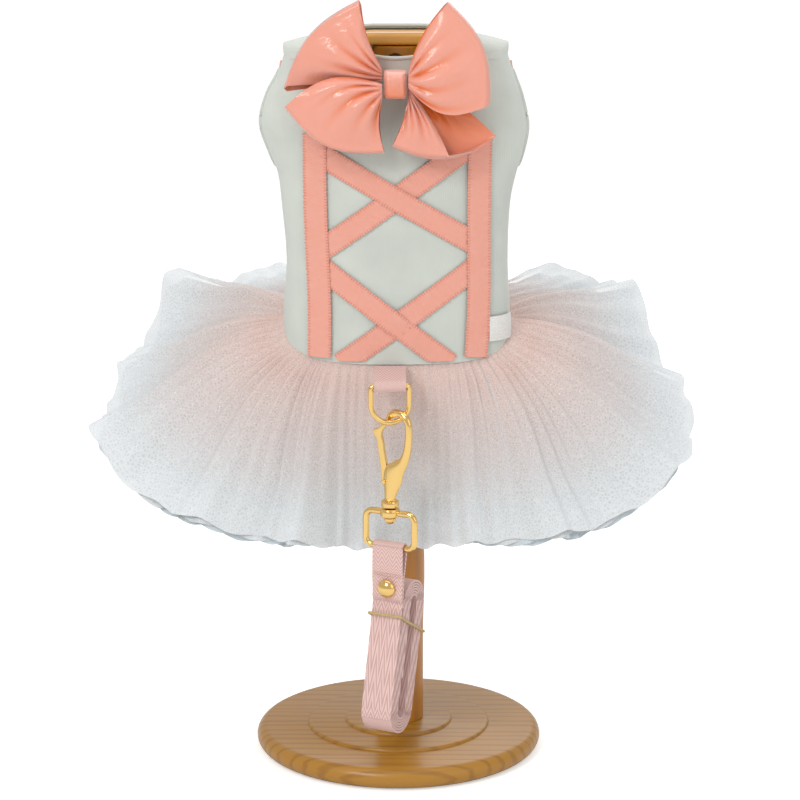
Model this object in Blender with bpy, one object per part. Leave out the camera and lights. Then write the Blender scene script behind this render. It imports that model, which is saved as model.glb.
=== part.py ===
"""Small-dog tutu dress with its clip-on leash, hung on a turned wooden display stand.

Frame: metres, +Z up, +X to the right of someone facing the front, +Y to the back.
The origin is the centre of the base's underside.
"""
import math
from typing import NamedTuple

import bmesh
import bpy
from mathutils import Vector

GAP = 0.0003            # clearance between neighbouring pieces
MERGE = 0.00001

# Display stand
BASE_DIAMETER = 0.180
BASE_HEIGHT = 0.017
STEP_DIAMETER = 0.115
SEAT_DIAMETER = 0.068
STEP_RISE = 0.002
POST_DIAMETER = 0.0315
POST_SWELL = 0.0008
CROSSBAR_TOP = 0.4541   # height of the hanger's crown above the ground
CROSSBAR_THICKNESS = 0.0077
CROSSBAR_DEPTH = 0.020
CROSSBAR_HALF_LENGTH = 0.058
CROSSBAR_ROUND = 0.0028
POST_HOLE_DIAMETER = 0.011
POST_HOLE_DEPTH = 0.009
POST_HOLE_DROP = 0.0168  # from the crossbar's top to the hole's centre
POST_HOLE_SHIFT = -0.0018

# Bodice
CLOTH = 0.002
BODICE_HEIGHT = 0.2029
BODICE_HALF_WIDTH = 0.070
BODICE_HALF_DEPTH = 0.031
BODICE_SQUARENESS = 2.6
BODICE_COLUMNS = 32
SHOULDER_SAG = 0.0096
SHOULDER_GAP = 0.0008   # between the crossbar and the cloth that rests on it
SAG_POWER = 1.4
HEM_RISE = 0.020        # the hem is this much higher at the sides than in front
HEM_FOLLOWED = (1.0, 0.5)  # share of the hem's rise that the lowest rings take
NECK_HALF_WIDTH = 0.034
NECK_DROP = 0.0155      # front neckline below the bodice's top
NECK_BACK_Y = 0.0125
ARMHOLE_HEIGHT = 0.058
ARMHOLE_DEPTH = 0.024
ARMHOLE_RISE = 0.147    # above the front hem
ARMHOLE_Y = 0.004

# Satin ribbons on the bodice
RIBBON = 0.001
BAND_WIDTH = 0.0122
BAND_FOOT_LIFT = 0.004
BAND_LENGTH = 0.138
BAND_OFFSET = 0.0475    # from the middle to each band, at its foot
BAND_LEAN = 0.0022
BAND_SHIFT = -0.0005
BAND_SWAY = 0.0012
CROSS_WIDTH = 0.0142
ARM_STRAP_WIDTH = 0.0070
ARM_STRAP_HEIGHT = 0.062
LABEL_WIDTH = 0.0128
LABEL_HEIGHT = 0.0155
LABEL_RISE = 0.0130     # above the front hem

# Bow
BOW_SPAN = 0.127
BOW_CENTRE = Vector((-0.0018, 0.0, 0.4280))
KNOT_WIDTH = 0.0140
KNOT_HEIGHT = 0.0166
KNOT_FRONT = -0.0575
SATIN = 0.001
PLEATS = 2.5
PLEAT_DEPTH = 0.0012

# Skirt
SKIRT_LENGTH = 0.124
TULLE = 0.001
GATHERS = 14
GATHER_STEPS = 4
GATHER_DEPTH = 0.0055
WAIST_PUFF = 0.005
LAYER_PITCH = 0.0016
WAIST_GAP = 0.0008      # below the bodice's rolled hem
LAYER_DROOP = 0.055     # share of the length that each lower layer hangs further down
LAYER_TRIM = 0.96       # each lower layer is this much shorter

# Ring tab, D-ring and snap hook
WEBBING_WIDTH = 0.020
TAB_WIDTH = 0.0192
WEBBING = 0.0013
HANG = Vector((-0.0050, -0.0630, 0.0))   # the snap hook's own upright axis
D_RING_WIRE = 0.0033
D_RING_WIDTH = 0.0265
D_RING_HEIGHT = 0.0261
D_RING_BOTTOM = 0.2248
D_RING_YAW = math.radians(8)
HOOK_YAW = math.radians(-37)
HOOK_CROSSING = 0.0035  # along the hook, where the ring's wire passes through its eye
HOOK_EYE_RADIUS = 0.0080
HOOK_EYE_SHIFT = 0.0060
HOOK_EYE_HEIGHT = 0.2247
HOOK_WIRE = 0.0046
HOOK_BODY_THICKNESS = 0.0056
COLLAR_TOP = 0.1775
COLLAR_HEIGHT = 0.0041
COLLAR_DIAMETER = 0.011
STEM_DIAMETER = 0.0040
STEM_HEAD_DIAMETER = 0.0076
GATE_THICKNESS = 0.0020
PIN_DIAMETER = 0.0020

# Swivel ring
SWIVEL_YAW = math.radians(-27)
SWIVEL_WIRE = 0.0039
SWIVEL_WIDTH = 0.037
SWIVEL_TOP = 0.1698     # centre of the wire
SWIVEL_BOTTOM = 0.1480
SWIVEL_CORNER = 0.0048
BOSS_DIAMETER = 0.0120
BOSS_HEIGHT = 0.0056

# Leash
HANK_HEIGHT = 0.0965
HANK_DEPTH = 0.0300
HANK_TURNS = 6
HANK_PITCH = 0.00165
HANK_TILT = math.radians(14)
HANK_CENTRE_Z = 0.0785
HANK_CENTRE_BACK = 0.0040
ARC_STEPS = 6
RIVET_DIAMETER = 0.0116
RIVET_HEIGHT = 0.0042
RIVET_Z = 0.1227
BAND_Z = 0.1055
RUBBER = 0.0010
RUBBER_HEIGHT = 0.0016


class Section(NamedTuple):
    """One ring of the bodice, as shares of its height, half width and half depth."""
    height: float
    half_width: float
    half_depth: float
    shift: float


BODICE_SECTIONS = (
    Section(0.000, 1.000, 0.97, -0.008),
    Section(0.120, 1.000, 1.00, -0.012),
    Section(0.300, 0.978, 1.02, -0.008),
    Section(0.475, 1.005, 1.03, -0.018),
    Section(0.563, 1.045, 1.02, -0.010),
    Section(0.625, 1.105, 1.00, -0.016),
    Section(0.700, 1.172, 0.98, -0.034),
    Section(0.745, 1.165, 0.97, -0.040),
    Section(0.805, 1.108, 0.96, -0.036),
    Section(0.865, 1.020, 0.95, -0.022),
)


class Crown(NamedTuple):
    """One ring of the closed shoulders: drop below the top line, and shares."""
    drop: float
    half_width: float
    half_depth: float


BODICE_CROWN = (
    Crown(0.0150, 0.965, 0.93),
    Crown(0.0060, 0.975, 0.80),
    Crown(0.0022, 0.975, 0.60),
    Crown(0.0005, 0.972, 0.34),
    Crown(0.0000, 0.970, 0.00),
)


class Flare(NamedTuple):
    """The skirt's hem at an angle from the front, as shares of its length."""
    angle: float
    reach: float
    drop: float


SKIRT_FLARE = (
    Flare(0, 0.05, 0.91), Flare(22, 0.12, 0.90), Flare(38, 0.34, 0.85),
    Flare(55, 0.56, 0.79), Flare(70, 0.81, 0.64), Flare(84, 0.94, 0.49),
    Flare(98, 0.91, 0.39), Flare(112, 0.92, 0.27), Flare(123, 0.94, 0.08),
    Flare(131, 1.00, -0.05), Flare(155, 1.00, -0.03), Flare(180, 0.98, 0.02),
)


class Ply(NamedTuple):
    """One side of a bow loop. Places are (x, z) shares of the bow's span."""
    upper_tip: tuple
    lower_tip: tuple
    fold_bulge: float
    upper_bulge: float
    lower_bulge: float
    root_y: float
    upper_y: float
    lower_y: float
    puff: float


class Loop(NamedTuple):
    """One bow loop: a satin ribbon that leaves the knot, folds over and returns."""
    name: str
    root_top: tuple
    root_bottom: tuple
    front: Ply
    back: Ply


BOW_LOOPS = (
    Loop("bow_loop_upper_left", (-0.062, 0.066), (-0.062, 0.018),
         Ply((-0.168, 0.378), (-0.505, -0.008), 0.072, -0.016, 0.00, -0.0450, -0.050, -0.0435, 0.006),
         Ply((-0.158, 0.366), (-0.508, -0.040), 0.060, -0.020, 0.00, -0.0410, -0.041, -0.0375, 0.001)),
    Loop("bow_loop_upper_right", (0.062, 0.066), (0.062, -0.010),
         Ply((0.238, 0.378), (0.418, -0.095), 0.074, 0.020, 0.075, -0.0525, -0.050, -0.0560, 0.006),
         Ply((0.226, 0.366), (0.428, -0.080), 0.066, 0.020, 0.050, -0.0480, -0.042, -0.0480, 0.001)),
    Loop("bow_loop_lower_left", (-0.062, 0.008), (-0.062, -0.058),
         Ply((-0.510, -0.090), (-0.054, -0.302), 0.086, 0.078, 0.020, -0.0525, -0.0545, -0.052, 0.007),
         Ply((-0.498, -0.092), (-0.060, -0.290), 0.074, 0.066, 0.012, -0.0485, -0.0485, -0.041, 0.001)),
    Loop("bow_loop_lower_right", (0.062, -0.020), (0.062, -0.060),
         Ply((0.252, -0.330), (-0.008, -0.272), 0.012, 0.014, 0.010, -0.0455, -0.0520, -0.0520, 0.004),
         Ply((0.472, -0.248), (-0.004, -0.268), 0.078, 0.040, 0.010, -0.0415, -0.0410, -0.0420, 0.001)),
)
LOOP_FRONT_STATIONS = (0.0, 0.2, 0.45, 0.7, 0.9, 1.0)
LOOP_BACK_STATIONS = (1.0, 0.75, 0.4, 0.0)
LOOP_COLUMNS = 6


class Cross(NamedTuple):
    """A diagonal ribbon: (x, height above the front hem) of its two ends, as shares of
    the bodice's half width and height, and if it lies on top of the other one."""
    name: str
    left: tuple
    right: tuple
    on_top: bool


CROSS_RIBBONS = (
    Cross("cross_upper_front", (-0.586, 0.620), (0.614, 0.378), True),
    Cross("cross_upper_back", (-0.586, 0.374), (0.614, 0.664), False),
    Cross("cross_lower_front", (-0.571, 0.272), (0.450, 0.000), True),
    Cross("cross_lower_back", (-0.530, 0.000), (0.614, 0.282), False),
)


class Wire(NamedTuple):
    """A section of the snap hook: place along the hook and up, half width, half thickness."""
    along: float
    height: float
    half_width: float
    half_thickness: float


HOOK_SHANK = (
    Wire(0.0140, 0.2180, 0.0023, 0.0023), Wire(0.0129, 0.2100, 0.0025, 0.0024),
    Wire(0.0098, 0.2025, 0.0034, 0.0026), Wire(0.0036, 0.1960, 0.0068, 0.0028),
    Wire(0.0016, 0.1895, 0.0066, 0.0028), Wire(0.0006, 0.1835, 0.0048, 0.0028),
    Wire(0.0000, 0.1785, 0.0036, 0.0028),
)
GATE_OUTLINE = (
    (-0.0052, 0.1868), (-0.0020, 0.1862), (-0.0004, 0.1890), (-0.0014, 0.1960), (-0.0040, 0.2080),
    (-0.0050, 0.2140), (-0.0062, 0.2175), (-0.0052, 0.2205), (-0.0024, 0.2245), (-0.0050, 0.2250),
    (-0.0084, 0.2215), (-0.0118, 0.2205), (-0.0124, 0.2180), (-0.0096, 0.2145), (-0.0088, 0.2100),
    (-0.0064, 0.1960),
)
GATE_PIVOT = (-0.0030, 0.1890)

COLOURS = {
    "pale_wood": ((0.60, 0.36, 0.10), 0.45, 0.0),
    "bodice_cloth": ((0.67, 0.70, 0.65), 0.9, 0.0),
    "tulle": ((0.83, 0.62, 0.56), 0.8, 0.0),
    "satin": ((0.87, 0.42, 0.31), 0.35, 0.0),
    "webbing": ((0.75, 0.50, 0.48), 0.8, 0.0),
    "gold": ((0.90, 0.68, 0.25), 0.15, 1.0),
    "rubber": ((0.60, 0.45, 0.22), 0.6, 0.0),
    "label": ((0.85, 0.85, 0.83), 0.6, 0.0),
}


def clear_scene():
    """Remove every object so the model is built in an empty scene."""
    for old in list(bpy.data.objects):
        bpy.data.objects.remove(old, do_unlink=True)


def finish(name):
    """The material of a finish, made on first use."""
    found = bpy.data.materials.get(name)
    if found:
        return found
    colour, roughness, metallic = COLOURS[name]
    made = bpy.data.materials.new(name)
    made.use_nodes = True
    shader = made.node_tree.nodes["Principled BSDF"]
    shader.inputs["Base Color"].default_value = (*colour, 1.0)
    shader.inputs["Roughness"].default_value = roughness
    shader.inputs["Metallic"].default_value = metallic
    return made


def add_object(name, bm, finish_name, smooth_angle=40.0):
    """Turn a bmesh into a named object with its finish and smooth shading."""
    mesh = bpy.data.meshes.new(name)
    bm.to_mesh(mesh)
    bm.free()
    mesh.materials.append(finish(finish_name))
    mesh.shade_smooth()
    mesh.set_sharp_from_angle(angle=math.radians(smooth_angle))
    made = bpy.data.objects.new(name, mesh)
    bpy.context.scene.collection.objects.link(made)
    return made


def grid_mesh(rows, wrapped=False):
    """A sheet of quads through rows of points, closed round its rows if wrapped."""
    bm = bmesh.new()
    verts = [[bm.verts.new(point) for point in row] for row in rows]
    columns = len(rows[0])
    spans = columns if wrapped else columns - 1
    for lower, upper in zip(verts, verts[1:]):
        for j in range(spans):
            k = (j + 1) % columns
            bm.faces.new((lower[j], lower[k], upper[k], upper[j]))
    return bm


def loft(rings, closed=False):
    """A solid through equal rings of points, capped at both ends unless closed."""
    bm = grid_mesh(rings + rings[:1] if closed else rings, wrapped=True)
    if closed:
        bmesh.ops.remove_doubles(bm, verts=bm.verts, dist=MERGE)
    else:
        bm.verts.ensure_lookup_table()
        count = len(rings[0])
        bm.faces.new([bm.verts[i] for i in reversed(range(count))])
        bm.faces.new([bm.verts[len(bm.verts) - count + i] for i in range(count)])
    bmesh.ops.recalc_face_normals(bm, faces=bm.faces)
    return bm


def thicken(made, thickness, offset):
    """Give a sheet its wall; offset -1 grows it inwards, 0 both ways, 1 outwards."""
    wall = made.modifiers.new("wall", "SOLIDIFY")
    wall.thickness = thickness
    wall.offset = offset
    wall.use_even_offset = True
    return made


def cut(made, name, bm, operation="DIFFERENCE"):
    """Combine an object with a hidden helper solid."""
    mesh = bpy.data.meshes.new(name)
    bmesh.ops.recalc_face_normals(bm, faces=bm.faces)
    bm.to_mesh(mesh)
    bm.free()
    helper = bpy.data.objects.new(name, mesh)
    helper.hide_render = True
    helper.display_type = "WIRE"
    bpy.context.scene.collection.objects.link(helper)
    boolean = made.modifiers.new(name, "BOOLEAN")
    boolean.object = helper
    boolean.operation = operation
    boolean.solver = "EXACT"
    return made


def prism(outline, offset):
    """A solid from a closed outline of points, extruded by a vector."""
    bm = bmesh.new()
    face = bm.faces.new([bm.verts.new(point) for point in outline])
    extruded = bmesh.ops.extrude_face_region(bm, geom=[face])
    moved = [item for item in extruded["geom"] if isinstance(item, bmesh.types.BMVert)]
    bmesh.ops.translate(bm, verts=moved, vec=offset)
    bmesh.ops.recalc_face_normals(bm, faces=bm.faces)
    return bm


def circle(centre, across, up, count, radius, radius_up=None):
    """Points round an ellipse that lies along two unit vectors."""
    radius_up = radius if radius_up is None else radius_up
    turn = 2 * math.pi / count
    return [centre + across * radius * math.cos(i * turn) + up * radius_up * math.sin(i * turn)
            for i in range(count)]


def turned(name, profile, segments, finish_name):
    """A round piece from its outer profile of (radius, height), top to bottom."""
    mesh = bpy.data.meshes.new(name)
    points = [(radius, 0.0, height) for radius, height in profile]
    mesh.from_pydata(points, [(i, i + 1) for i in range(len(points) - 1)], [])
    mesh.materials.append(finish(finish_name))
    made = bpy.data.objects.new(name, mesh)
    bpy.context.scene.collection.objects.link(made)
    screw = made.modifiers.new("turning", "SCREW")
    screw.steps = segments
    screw.render_steps = segments
    screw.use_merge_vertices = True
    screw.merge_threshold = MERGE
    screw.use_normal_calculate = True
    return made


def lerp(a, b, t):
    """The value a share t of the way from a to b."""
    return a + (b - a) * t


def yawed(yaw):
    """The level unit vectors along and across a piece that is turned by yaw."""
    along = Vector((math.cos(yaw), math.sin(yaw), 0.0))
    across = Vector((-math.sin(yaw), math.cos(yaw), 0.0))
    return along, across


UP = Vector((0.0, 0.0, 1.0))
BODICE_TOP = CROSSBAR_TOP + SHOULDER_GAP + CLOTH
BODICE_BOTTOM = BODICE_TOP - BODICE_HEIGHT


def shoulder_sag(x):
    """How far the top line is below its middle at x; it is level over the post."""
    level = POST_DIAMETER / 2
    return SHOULDER_SAG * (max(0.0, abs(x) - level) / (BODICE_HALF_WIDTH - level)) ** SAG_POWER


def section_at(z):
    """The bodice's half width, half depth and sideways shift at a height."""
    share = (z - BODICE_BOTTOM) / BODICE_HEIGHT
    crown = BODICE_CROWN[0]
    last = Section(1 - crown.drop / BODICE_HEIGHT, crown.half_width, crown.half_depth,
                   BODICE_SECTIONS[-1].shift)
    rows = BODICE_SECTIONS + (last,)
    for low, high in zip(rows, rows[1:]):
        if share <= high.height:
            t = max(0.0, (share - low.height) / (high.height - low.height))
            mixed = [lerp(a, b, t) for a, b in zip(low, high)]
            return (mixed[1] * BODICE_HALF_WIDTH, mixed[2] * BODICE_HALF_DEPTH, mixed[3] * BODICE_HALF_WIDTH)
    return (last.half_width * BODICE_HALF_WIDTH, last.half_depth * BODICE_HALF_DEPTH,
            last.shift * BODICE_HALF_WIDTH)


def squared(value):
    """A cosine or sine pushed outwards, which squares a circle's corners."""
    return math.copysign(abs(value) ** (2 / BODICE_SQUARENESS), value)


def ring_point(turn, half_width, half_depth, shift):
    """A point of a bodice ring; turn 0 is the front and a quarter is the left side."""
    return Vector((shift - half_width * squared(math.sin(turn)), -half_depth * squared(math.cos(turn)), 0.0))


def hem_height(y, half_depth):
    """The hem rises from the front to the sides and stays level round the back."""
    return BODICE_BOTTOM + HEM_RISE * min(1.0, max(0.0, (y + half_depth) / half_depth)) ** 1.3


def front_surface(x, z, lift):
    """The point above (x, z) on the bodice's front, lifted off the cloth."""
    half_width, half_depth, shift = section_at(z)
    share = min(0.98, abs(x - shift) / half_width) ** BODICE_SQUARENESS
    y = -half_depth * (1 - share) ** (1 / BODICE_SQUARENESS)
    slope_x = (x - shift) / half_width ** 2 * abs((x - shift) / half_width) ** (BODICE_SQUARENESS - 2)
    slope_y = y / half_depth ** 2 * abs(y / half_depth) ** (BODICE_SQUARENESS - 2)
    normal = Vector((slope_x, slope_y, 0.0)).normalized()
    return Vector((x, y, z)) + normal * lift


def build_stand():
    """The base, the post with its blind hole, and the arched crossbar."""
    rim = BASE_DIAMETER / 2
    seat_top = BASE_HEIGHT
    step_top = seat_top - STEP_RISE
    rim_top = step_top - STEP_RISE
    edge = rim_top / 2
    bullnose = [(rim - edge + edge * math.sin(a), rim_top / 2 + edge * math.cos(a))
                for a in (math.radians(d) for d in (0, 30, 60, 90, 120, 150, 180))]
    profile = [(0.0, seat_top), (SEAT_DIAMETER / 2 - STEP_RISE, seat_top), (SEAT_DIAMETER / 2, step_top),
               (STEP_DIAMETER / 2 - STEP_RISE, step_top), (STEP_DIAMETER / 2, rim_top)]
    turned("stand_base", profile + bullnose + [(0.0, 0.0)], 40, "pale_wood")

    radius = POST_DIAMETER / 2
    foot = BASE_HEIGHT + GAP
    top = CROSSBAR_TOP - CROSSBAR_THICKNESS - GAP
    height = top - foot
    swell = radius + POST_SWELL
    outline = [(0.0, top), (radius, top), (radius, foot + height * 0.34), (swell, foot + height * 0.22),
               (radius, foot + height * 0.14), (radius, foot), (0.0, foot)]
    post = turned("stand_post", outline, 28, "pale_wood")
    hole_z = CROSSBAR_TOP - POST_HOLE_DROP
    mouth = Vector((POST_HOLE_SHIFT, -POST_DIAMETER, hole_z))
    outline = circle(mouth, Vector((1, 0, 0)), UP, 16, POST_HOLE_DIAMETER / 2)
    cut(post, "hole_cutter", prism(outline, Vector((0, POST_DIAMETER - radius + POST_HOLE_DEPTH, 0))))

    rings = []
    bar = rounded_box(CROSSBAR_DEPTH, CROSSBAR_THICKNESS, CROSSBAR_ROUND)
    for i in range(13):
        x = CROSSBAR_HALF_LENGTH * (i / 6 - 1)
        z = CROSSBAR_TOP - shoulder_sag(x) - CROSSBAR_THICKNESS / 2
        rings.append([Vector((x, y, z + dz)) for y, dz in bar])
    add_object("stand_crossbar", loft(rings), "pale_wood")


def rounded_box(width, height, corner):
    """An outline with cut corners, centred on the origin."""
    w, h = width / 2, height / 2
    return [(-w, -h + corner), (-w + corner, -h), (w - corner, -h), (w, -h + corner),
            (w, h - corner), (w - corner, h), (-w + corner, h), (-w, h - corner)]


def build_bodice():
    """The hollow padded tube, closed over the shoulders and cut for neck and legs."""
    turns = [2 * math.pi * i / BODICE_COLUMNS for i in range(BODICE_COLUMNS)]
    rows = []
    for index, row in enumerate(BODICE_SECTIONS):
        half_width, half_depth = row.half_width * BODICE_HALF_WIDTH, row.half_depth * BODICE_HALF_DEPTH
        ring = [ring_point(turn, half_width, half_depth, row.shift * BODICE_HALF_WIDTH) for turn in turns]
        follows_hem = HEM_FOLLOWED[index] if index < len(HEM_FOLLOWED) else 0.0
        for point in ring:
            rise = hem_height(point.y, half_depth) - BODICE_BOTTOM
            point.z = BODICE_BOTTOM + row.height * BODICE_HEIGHT + rise * follows_hem
        rows.append(ring)
    for row in BODICE_CROWN:
        half_width, half_depth = row.half_width * BODICE_HALF_WIDTH, row.half_depth * BODICE_HALF_DEPTH
        shift = BODICE_SECTIONS[-1].shift * BODICE_HALF_WIDTH
        ring = [ring_point(turn, half_width, half_depth, shift) for turn in turns]
        share = (1 - row.drop / BODICE_CROWN[0].drop) ** 0.5
        for point in ring:
            point.z = BODICE_TOP - row.drop - shoulder_sag(point.x) * max(share, 0.0)
        rows.append(ring)
    bm = grid_mesh(rows, wrapped=True)
    bmesh.ops.remove_doubles(bm, verts=bm.verts, dist=MERGE)
    bmesh.ops.recalc_face_normals(bm, faces=bm.faces)
    bodice = thicken(add_object("bodice", bm, "bodice_cloth"), CLOTH, -1.0)

    reach = BODICE_HALF_DEPTH * 2
    centre = Vector((BODICE_SECTIONS[-1].shift * BODICE_HALF_WIDTH, -reach, BODICE_TOP))
    outline = circle(centre, Vector((1, 0, 0)), UP, 24, NECK_HALF_WIDTH, NECK_DROP)
    cut(bodice, "neck_cutter", prism(outline, Vector((0, reach + NECK_BACK_Y, 0))))
    for side, word in ((-1, "left"), (1, "right")):
        start = Vector((side * BODICE_HALF_WIDTH * 0.6, ARMHOLE_Y, BODICE_BOTTOM + ARMHOLE_RISE))
        outline = circle(start, Vector((0, 1, 0)), UP, 16, ARMHOLE_DEPTH / 2, ARMHOLE_HEIGHT / 2)
        cut(bodice, f"armhole_cutter_{word}", prism(outline, Vector((side * BODICE_HALF_WIDTH, 0, 0))))


def band_x(side, z):
    """The middle of an upright band at a height: it leans outwards and sways near its foot."""
    rise = (z - BODICE_BOTTOM - BAND_FOOT_LIFT) / BAND_LENGTH
    sway = BAND_SWAY * math.sin(rise * 5.5) * (1 - rise)
    return side * (BAND_OFFSET + BAND_LEAN * rise) + BAND_SHIFT + sway


def build_ribbons():
    """Two upright bands and two crosses, each cross one ribbon over another."""
    low_lift = GAP + RIBBON / 2 + 0.0001
    high_lift = low_lift + RIBBON + GAP
    steps = 14
    foot = BODICE_BOTTOM + BAND_FOOT_LIFT
    for side, word in ((-1, "left"), (1, "right")):
        rows = []
        for i in range(steps + 1):
            z = foot + BAND_LENGTH * i / steps
            middle = band_x(side, z)
            rows.append([front_surface(middle + BAND_WIDTH * (j / 3 - 0.5), z, low_lift) for j in range(4)])
        thicken(add_object(f"band_{word}", grid_mesh(rows), "satin"), RIBBON, 0.0)
    for ribbon in CROSS_RIBBONS:
        left_x, right_x = (end[0] * BODICE_HALF_WIDTH for end in (ribbon.left, ribbon.right))
        left_z, right_z = (BODICE_BOTTOM + end[1] * BODICE_HEIGHT for end in (ribbon.left, ribbon.right))
        half = CROSS_WIDTH / 2 * math.hypot(right_x - left_x, right_z - left_z) / (right_x - left_x)
        middle_x = (left_x + right_x) / 2
        rows = []
        count = 13
        for i in range(count + 1):
            t = i / count
            row = []
            x, z = lerp(left_x, right_x, t), lerp(left_z, right_z, t)
            over = max(0.0, 1 - abs(x - middle_x) / (CROSS_WIDTH * 1.9))
            lift = lerp(low_lift, high_lift, min(1.0, over * 2.2)) if ribbon.on_top else low_lift
            for j in range(3):
                height = max(z + half * (j - 1), foot + 0.0006 * j)
                inner = BAND_WIDTH / 2 + GAP * 2
                along = min(max(x, band_x(-1, height) + inner), band_x(1, height) - inner)
                row.append(front_surface(along, height, lift))
            rows.append(row)
        thicken(add_object(ribbon.name, grid_mesh(rows), "satin"), RIBBON, 0.0)


def build_side_pieces():
    """The pink straps behind the shoulders and the small bare label."""
    for side, word in ((-1, "left"), (1, "right")):
        rows = []
        for i in range(9):
            t = i / 8
            z = BODICE_BOTTOM + ARMHOLE_RISE + ARMHOLE_HEIGHT / 2 + 0.004 - ARM_STRAP_HEIGHT * t
            half_width, half_depth, shift = section_at(z)
            y = ARMHOLE_Y + ARMHOLE_DEPTH / 2 + 0.001
            inner = half_width * (1 - (y / half_depth) ** BODICE_SQUARENESS) ** (1 / BODICE_SQUARENESS)
            start = Vector((shift + side * (inner + GAP * 2), y, z))
            width = ARM_STRAP_WIDTH * lerp(1.0, 0.45, min(1.0, t * 2.2))
            rows.append([start, start + Vector((side * width, width * 0.3, 0))])
        thicken(add_object(f"arm_strap_{word}", grid_mesh(rows), "satin"), RIBBON, 0.0)
    bottom = BODICE_BOTTOM + LABEL_RISE
    left_x = band_x(1, bottom) + BAND_WIDTH / 2 + 0.0012
    lift = GAP + RIBBON / 2 + 0.0002
    rows = [[front_surface(left_x + LABEL_WIDTH * j / 3, bottom + LABEL_HEIGHT * i / 3, lift)
             for j in range(4)] for i in range(4)]
    thicken(add_object("side_label", grid_mesh(rows), "label"), RIBBON, 0.0)


def bow_point(share, y):
    """A place of the bow from (x, z) shares of its span."""
    return BOW_CENTRE + Vector((share[0] * BOW_SPAN, y, share[1] * BOW_SPAN))


def ply_point(loop, ply, s, t):
    """A point of a loop's ply: s runs from knot to fold, t from upper to lower edge."""
    edges = []
    for root, tip, bulge in ((loop.root_top, ply.upper_tip, ply.upper_bulge),
                             (loop.root_bottom, ply.lower_tip, -ply.lower_bulge)):
        x, z = lerp(root[0], tip[0], s), lerp(root[1], tip[1], s)
        reach = math.hypot(tip[0] - root[0], tip[1] - root[1])
        side = Vector((-(tip[1] - root[1]), tip[0] - root[0])) / reach
        if side.y < 0 or (abs(side.y) < 0.3 and side.x * root[0] > 0):
            side = -side
        x += side.x * bulge * math.sin(math.pi * s)
        z += side.y * bulge * math.sin(math.pi * s)
        edges.append((x, z))
    x, z = lerp(edges[0][0], edges[1][0], t), lerp(edges[0][1], edges[1][1], t)
    centre = ((ply.upper_tip[0] + ply.lower_tip[0]) / 2, (ply.upper_tip[1] + ply.lower_tip[1]) / 2)
    away = Vector((ply.lower_tip[1] - ply.upper_tip[1], ply.upper_tip[0] - ply.lower_tip[0])).normalized()
    if away.dot(Vector(centre)) < 0:
        away = -away
    bulge = ply.fold_bulge * math.sin(math.pi * t) * s * s
    y = lerp(ply.root_y, lerp(ply.upper_y, ply.lower_y, t), min(1.0, s * 1.5) ** 0.7)
    y -= ply.puff * math.sin(math.pi * min(1.0, s * 1.05)) * math.sin(math.pi * t) ** 0.6
    y += PLEAT_DEPTH * math.cos(2 * math.pi * PLEATS * t) * (1 - s) * min(1.0, s * 4)
    return bow_point((x + away.x * bulge, z + away.y * bulge), y)


def build_bow():
    """Four open satin loops round a wrapped knot."""
    for loop in BOW_LOOPS:
        columns = [j / LOOP_COLUMNS for j in range(LOOP_COLUMNS + 1)]
        rows = [[ply_point(loop, loop.front, s, t) for t in columns] for s in LOOP_FRONT_STATIONS]
        returning = [[ply_point(loop, loop.back, s, t) for t in columns] for s in LOOP_BACK_STATIONS]
        fold = []
        for front, back, inner in zip(rows[-1], returning[0], rows[-2]):
            outward = (front - inner).normalized() * abs(front.y - back.y) * 0.3
            fold.append((front + back) / 2 + Vector((outward.x, 0, outward.z)))
        thicken(add_object(loop.name, grid_mesh(rows + [fold] + returning), "satin", 60), SATIN, 0.0)
    rings = []
    knot_back = -section_at(BOW_CENTRE.z)[1] - GAP
    for share, waist in ((-1.0, 0.90), (-0.6, 0.98), (0.0, 0.94), (0.6, 0.98), (1.0, 0.90)):
        width, depth = KNOT_WIDTH * waist, (knot_back - KNOT_FRONT) * waist
        middle = knot_back - depth / 2
        rings.append([BOW_CENTRE + Vector((x, middle + y, share * KNOT_HEIGHT / 2))
                      for x, y in rounded_box(width, depth, 0.0035)])
    add_object("bow_knot", loft(rings), "satin", 60)


def flare_at(degrees):
    """The skirt's reach and drop shares at an angle from the front."""
    degrees = abs(((degrees + 180) % 360) - 180)
    for low, high in zip(SKIRT_FLARE, SKIRT_FLARE[1:]):
        if degrees <= high.angle:
            t = (degrees - low.angle) / (high.angle - low.angle)
            t = t * t * (3 - 2 * t) * 0.4 + t * 0.6
            return lerp(low.reach, high.reach, t), lerp(low.drop, high.drop, t)
    return SKIRT_FLARE[-1].reach, SKIRT_FLARE[-1].drop


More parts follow.
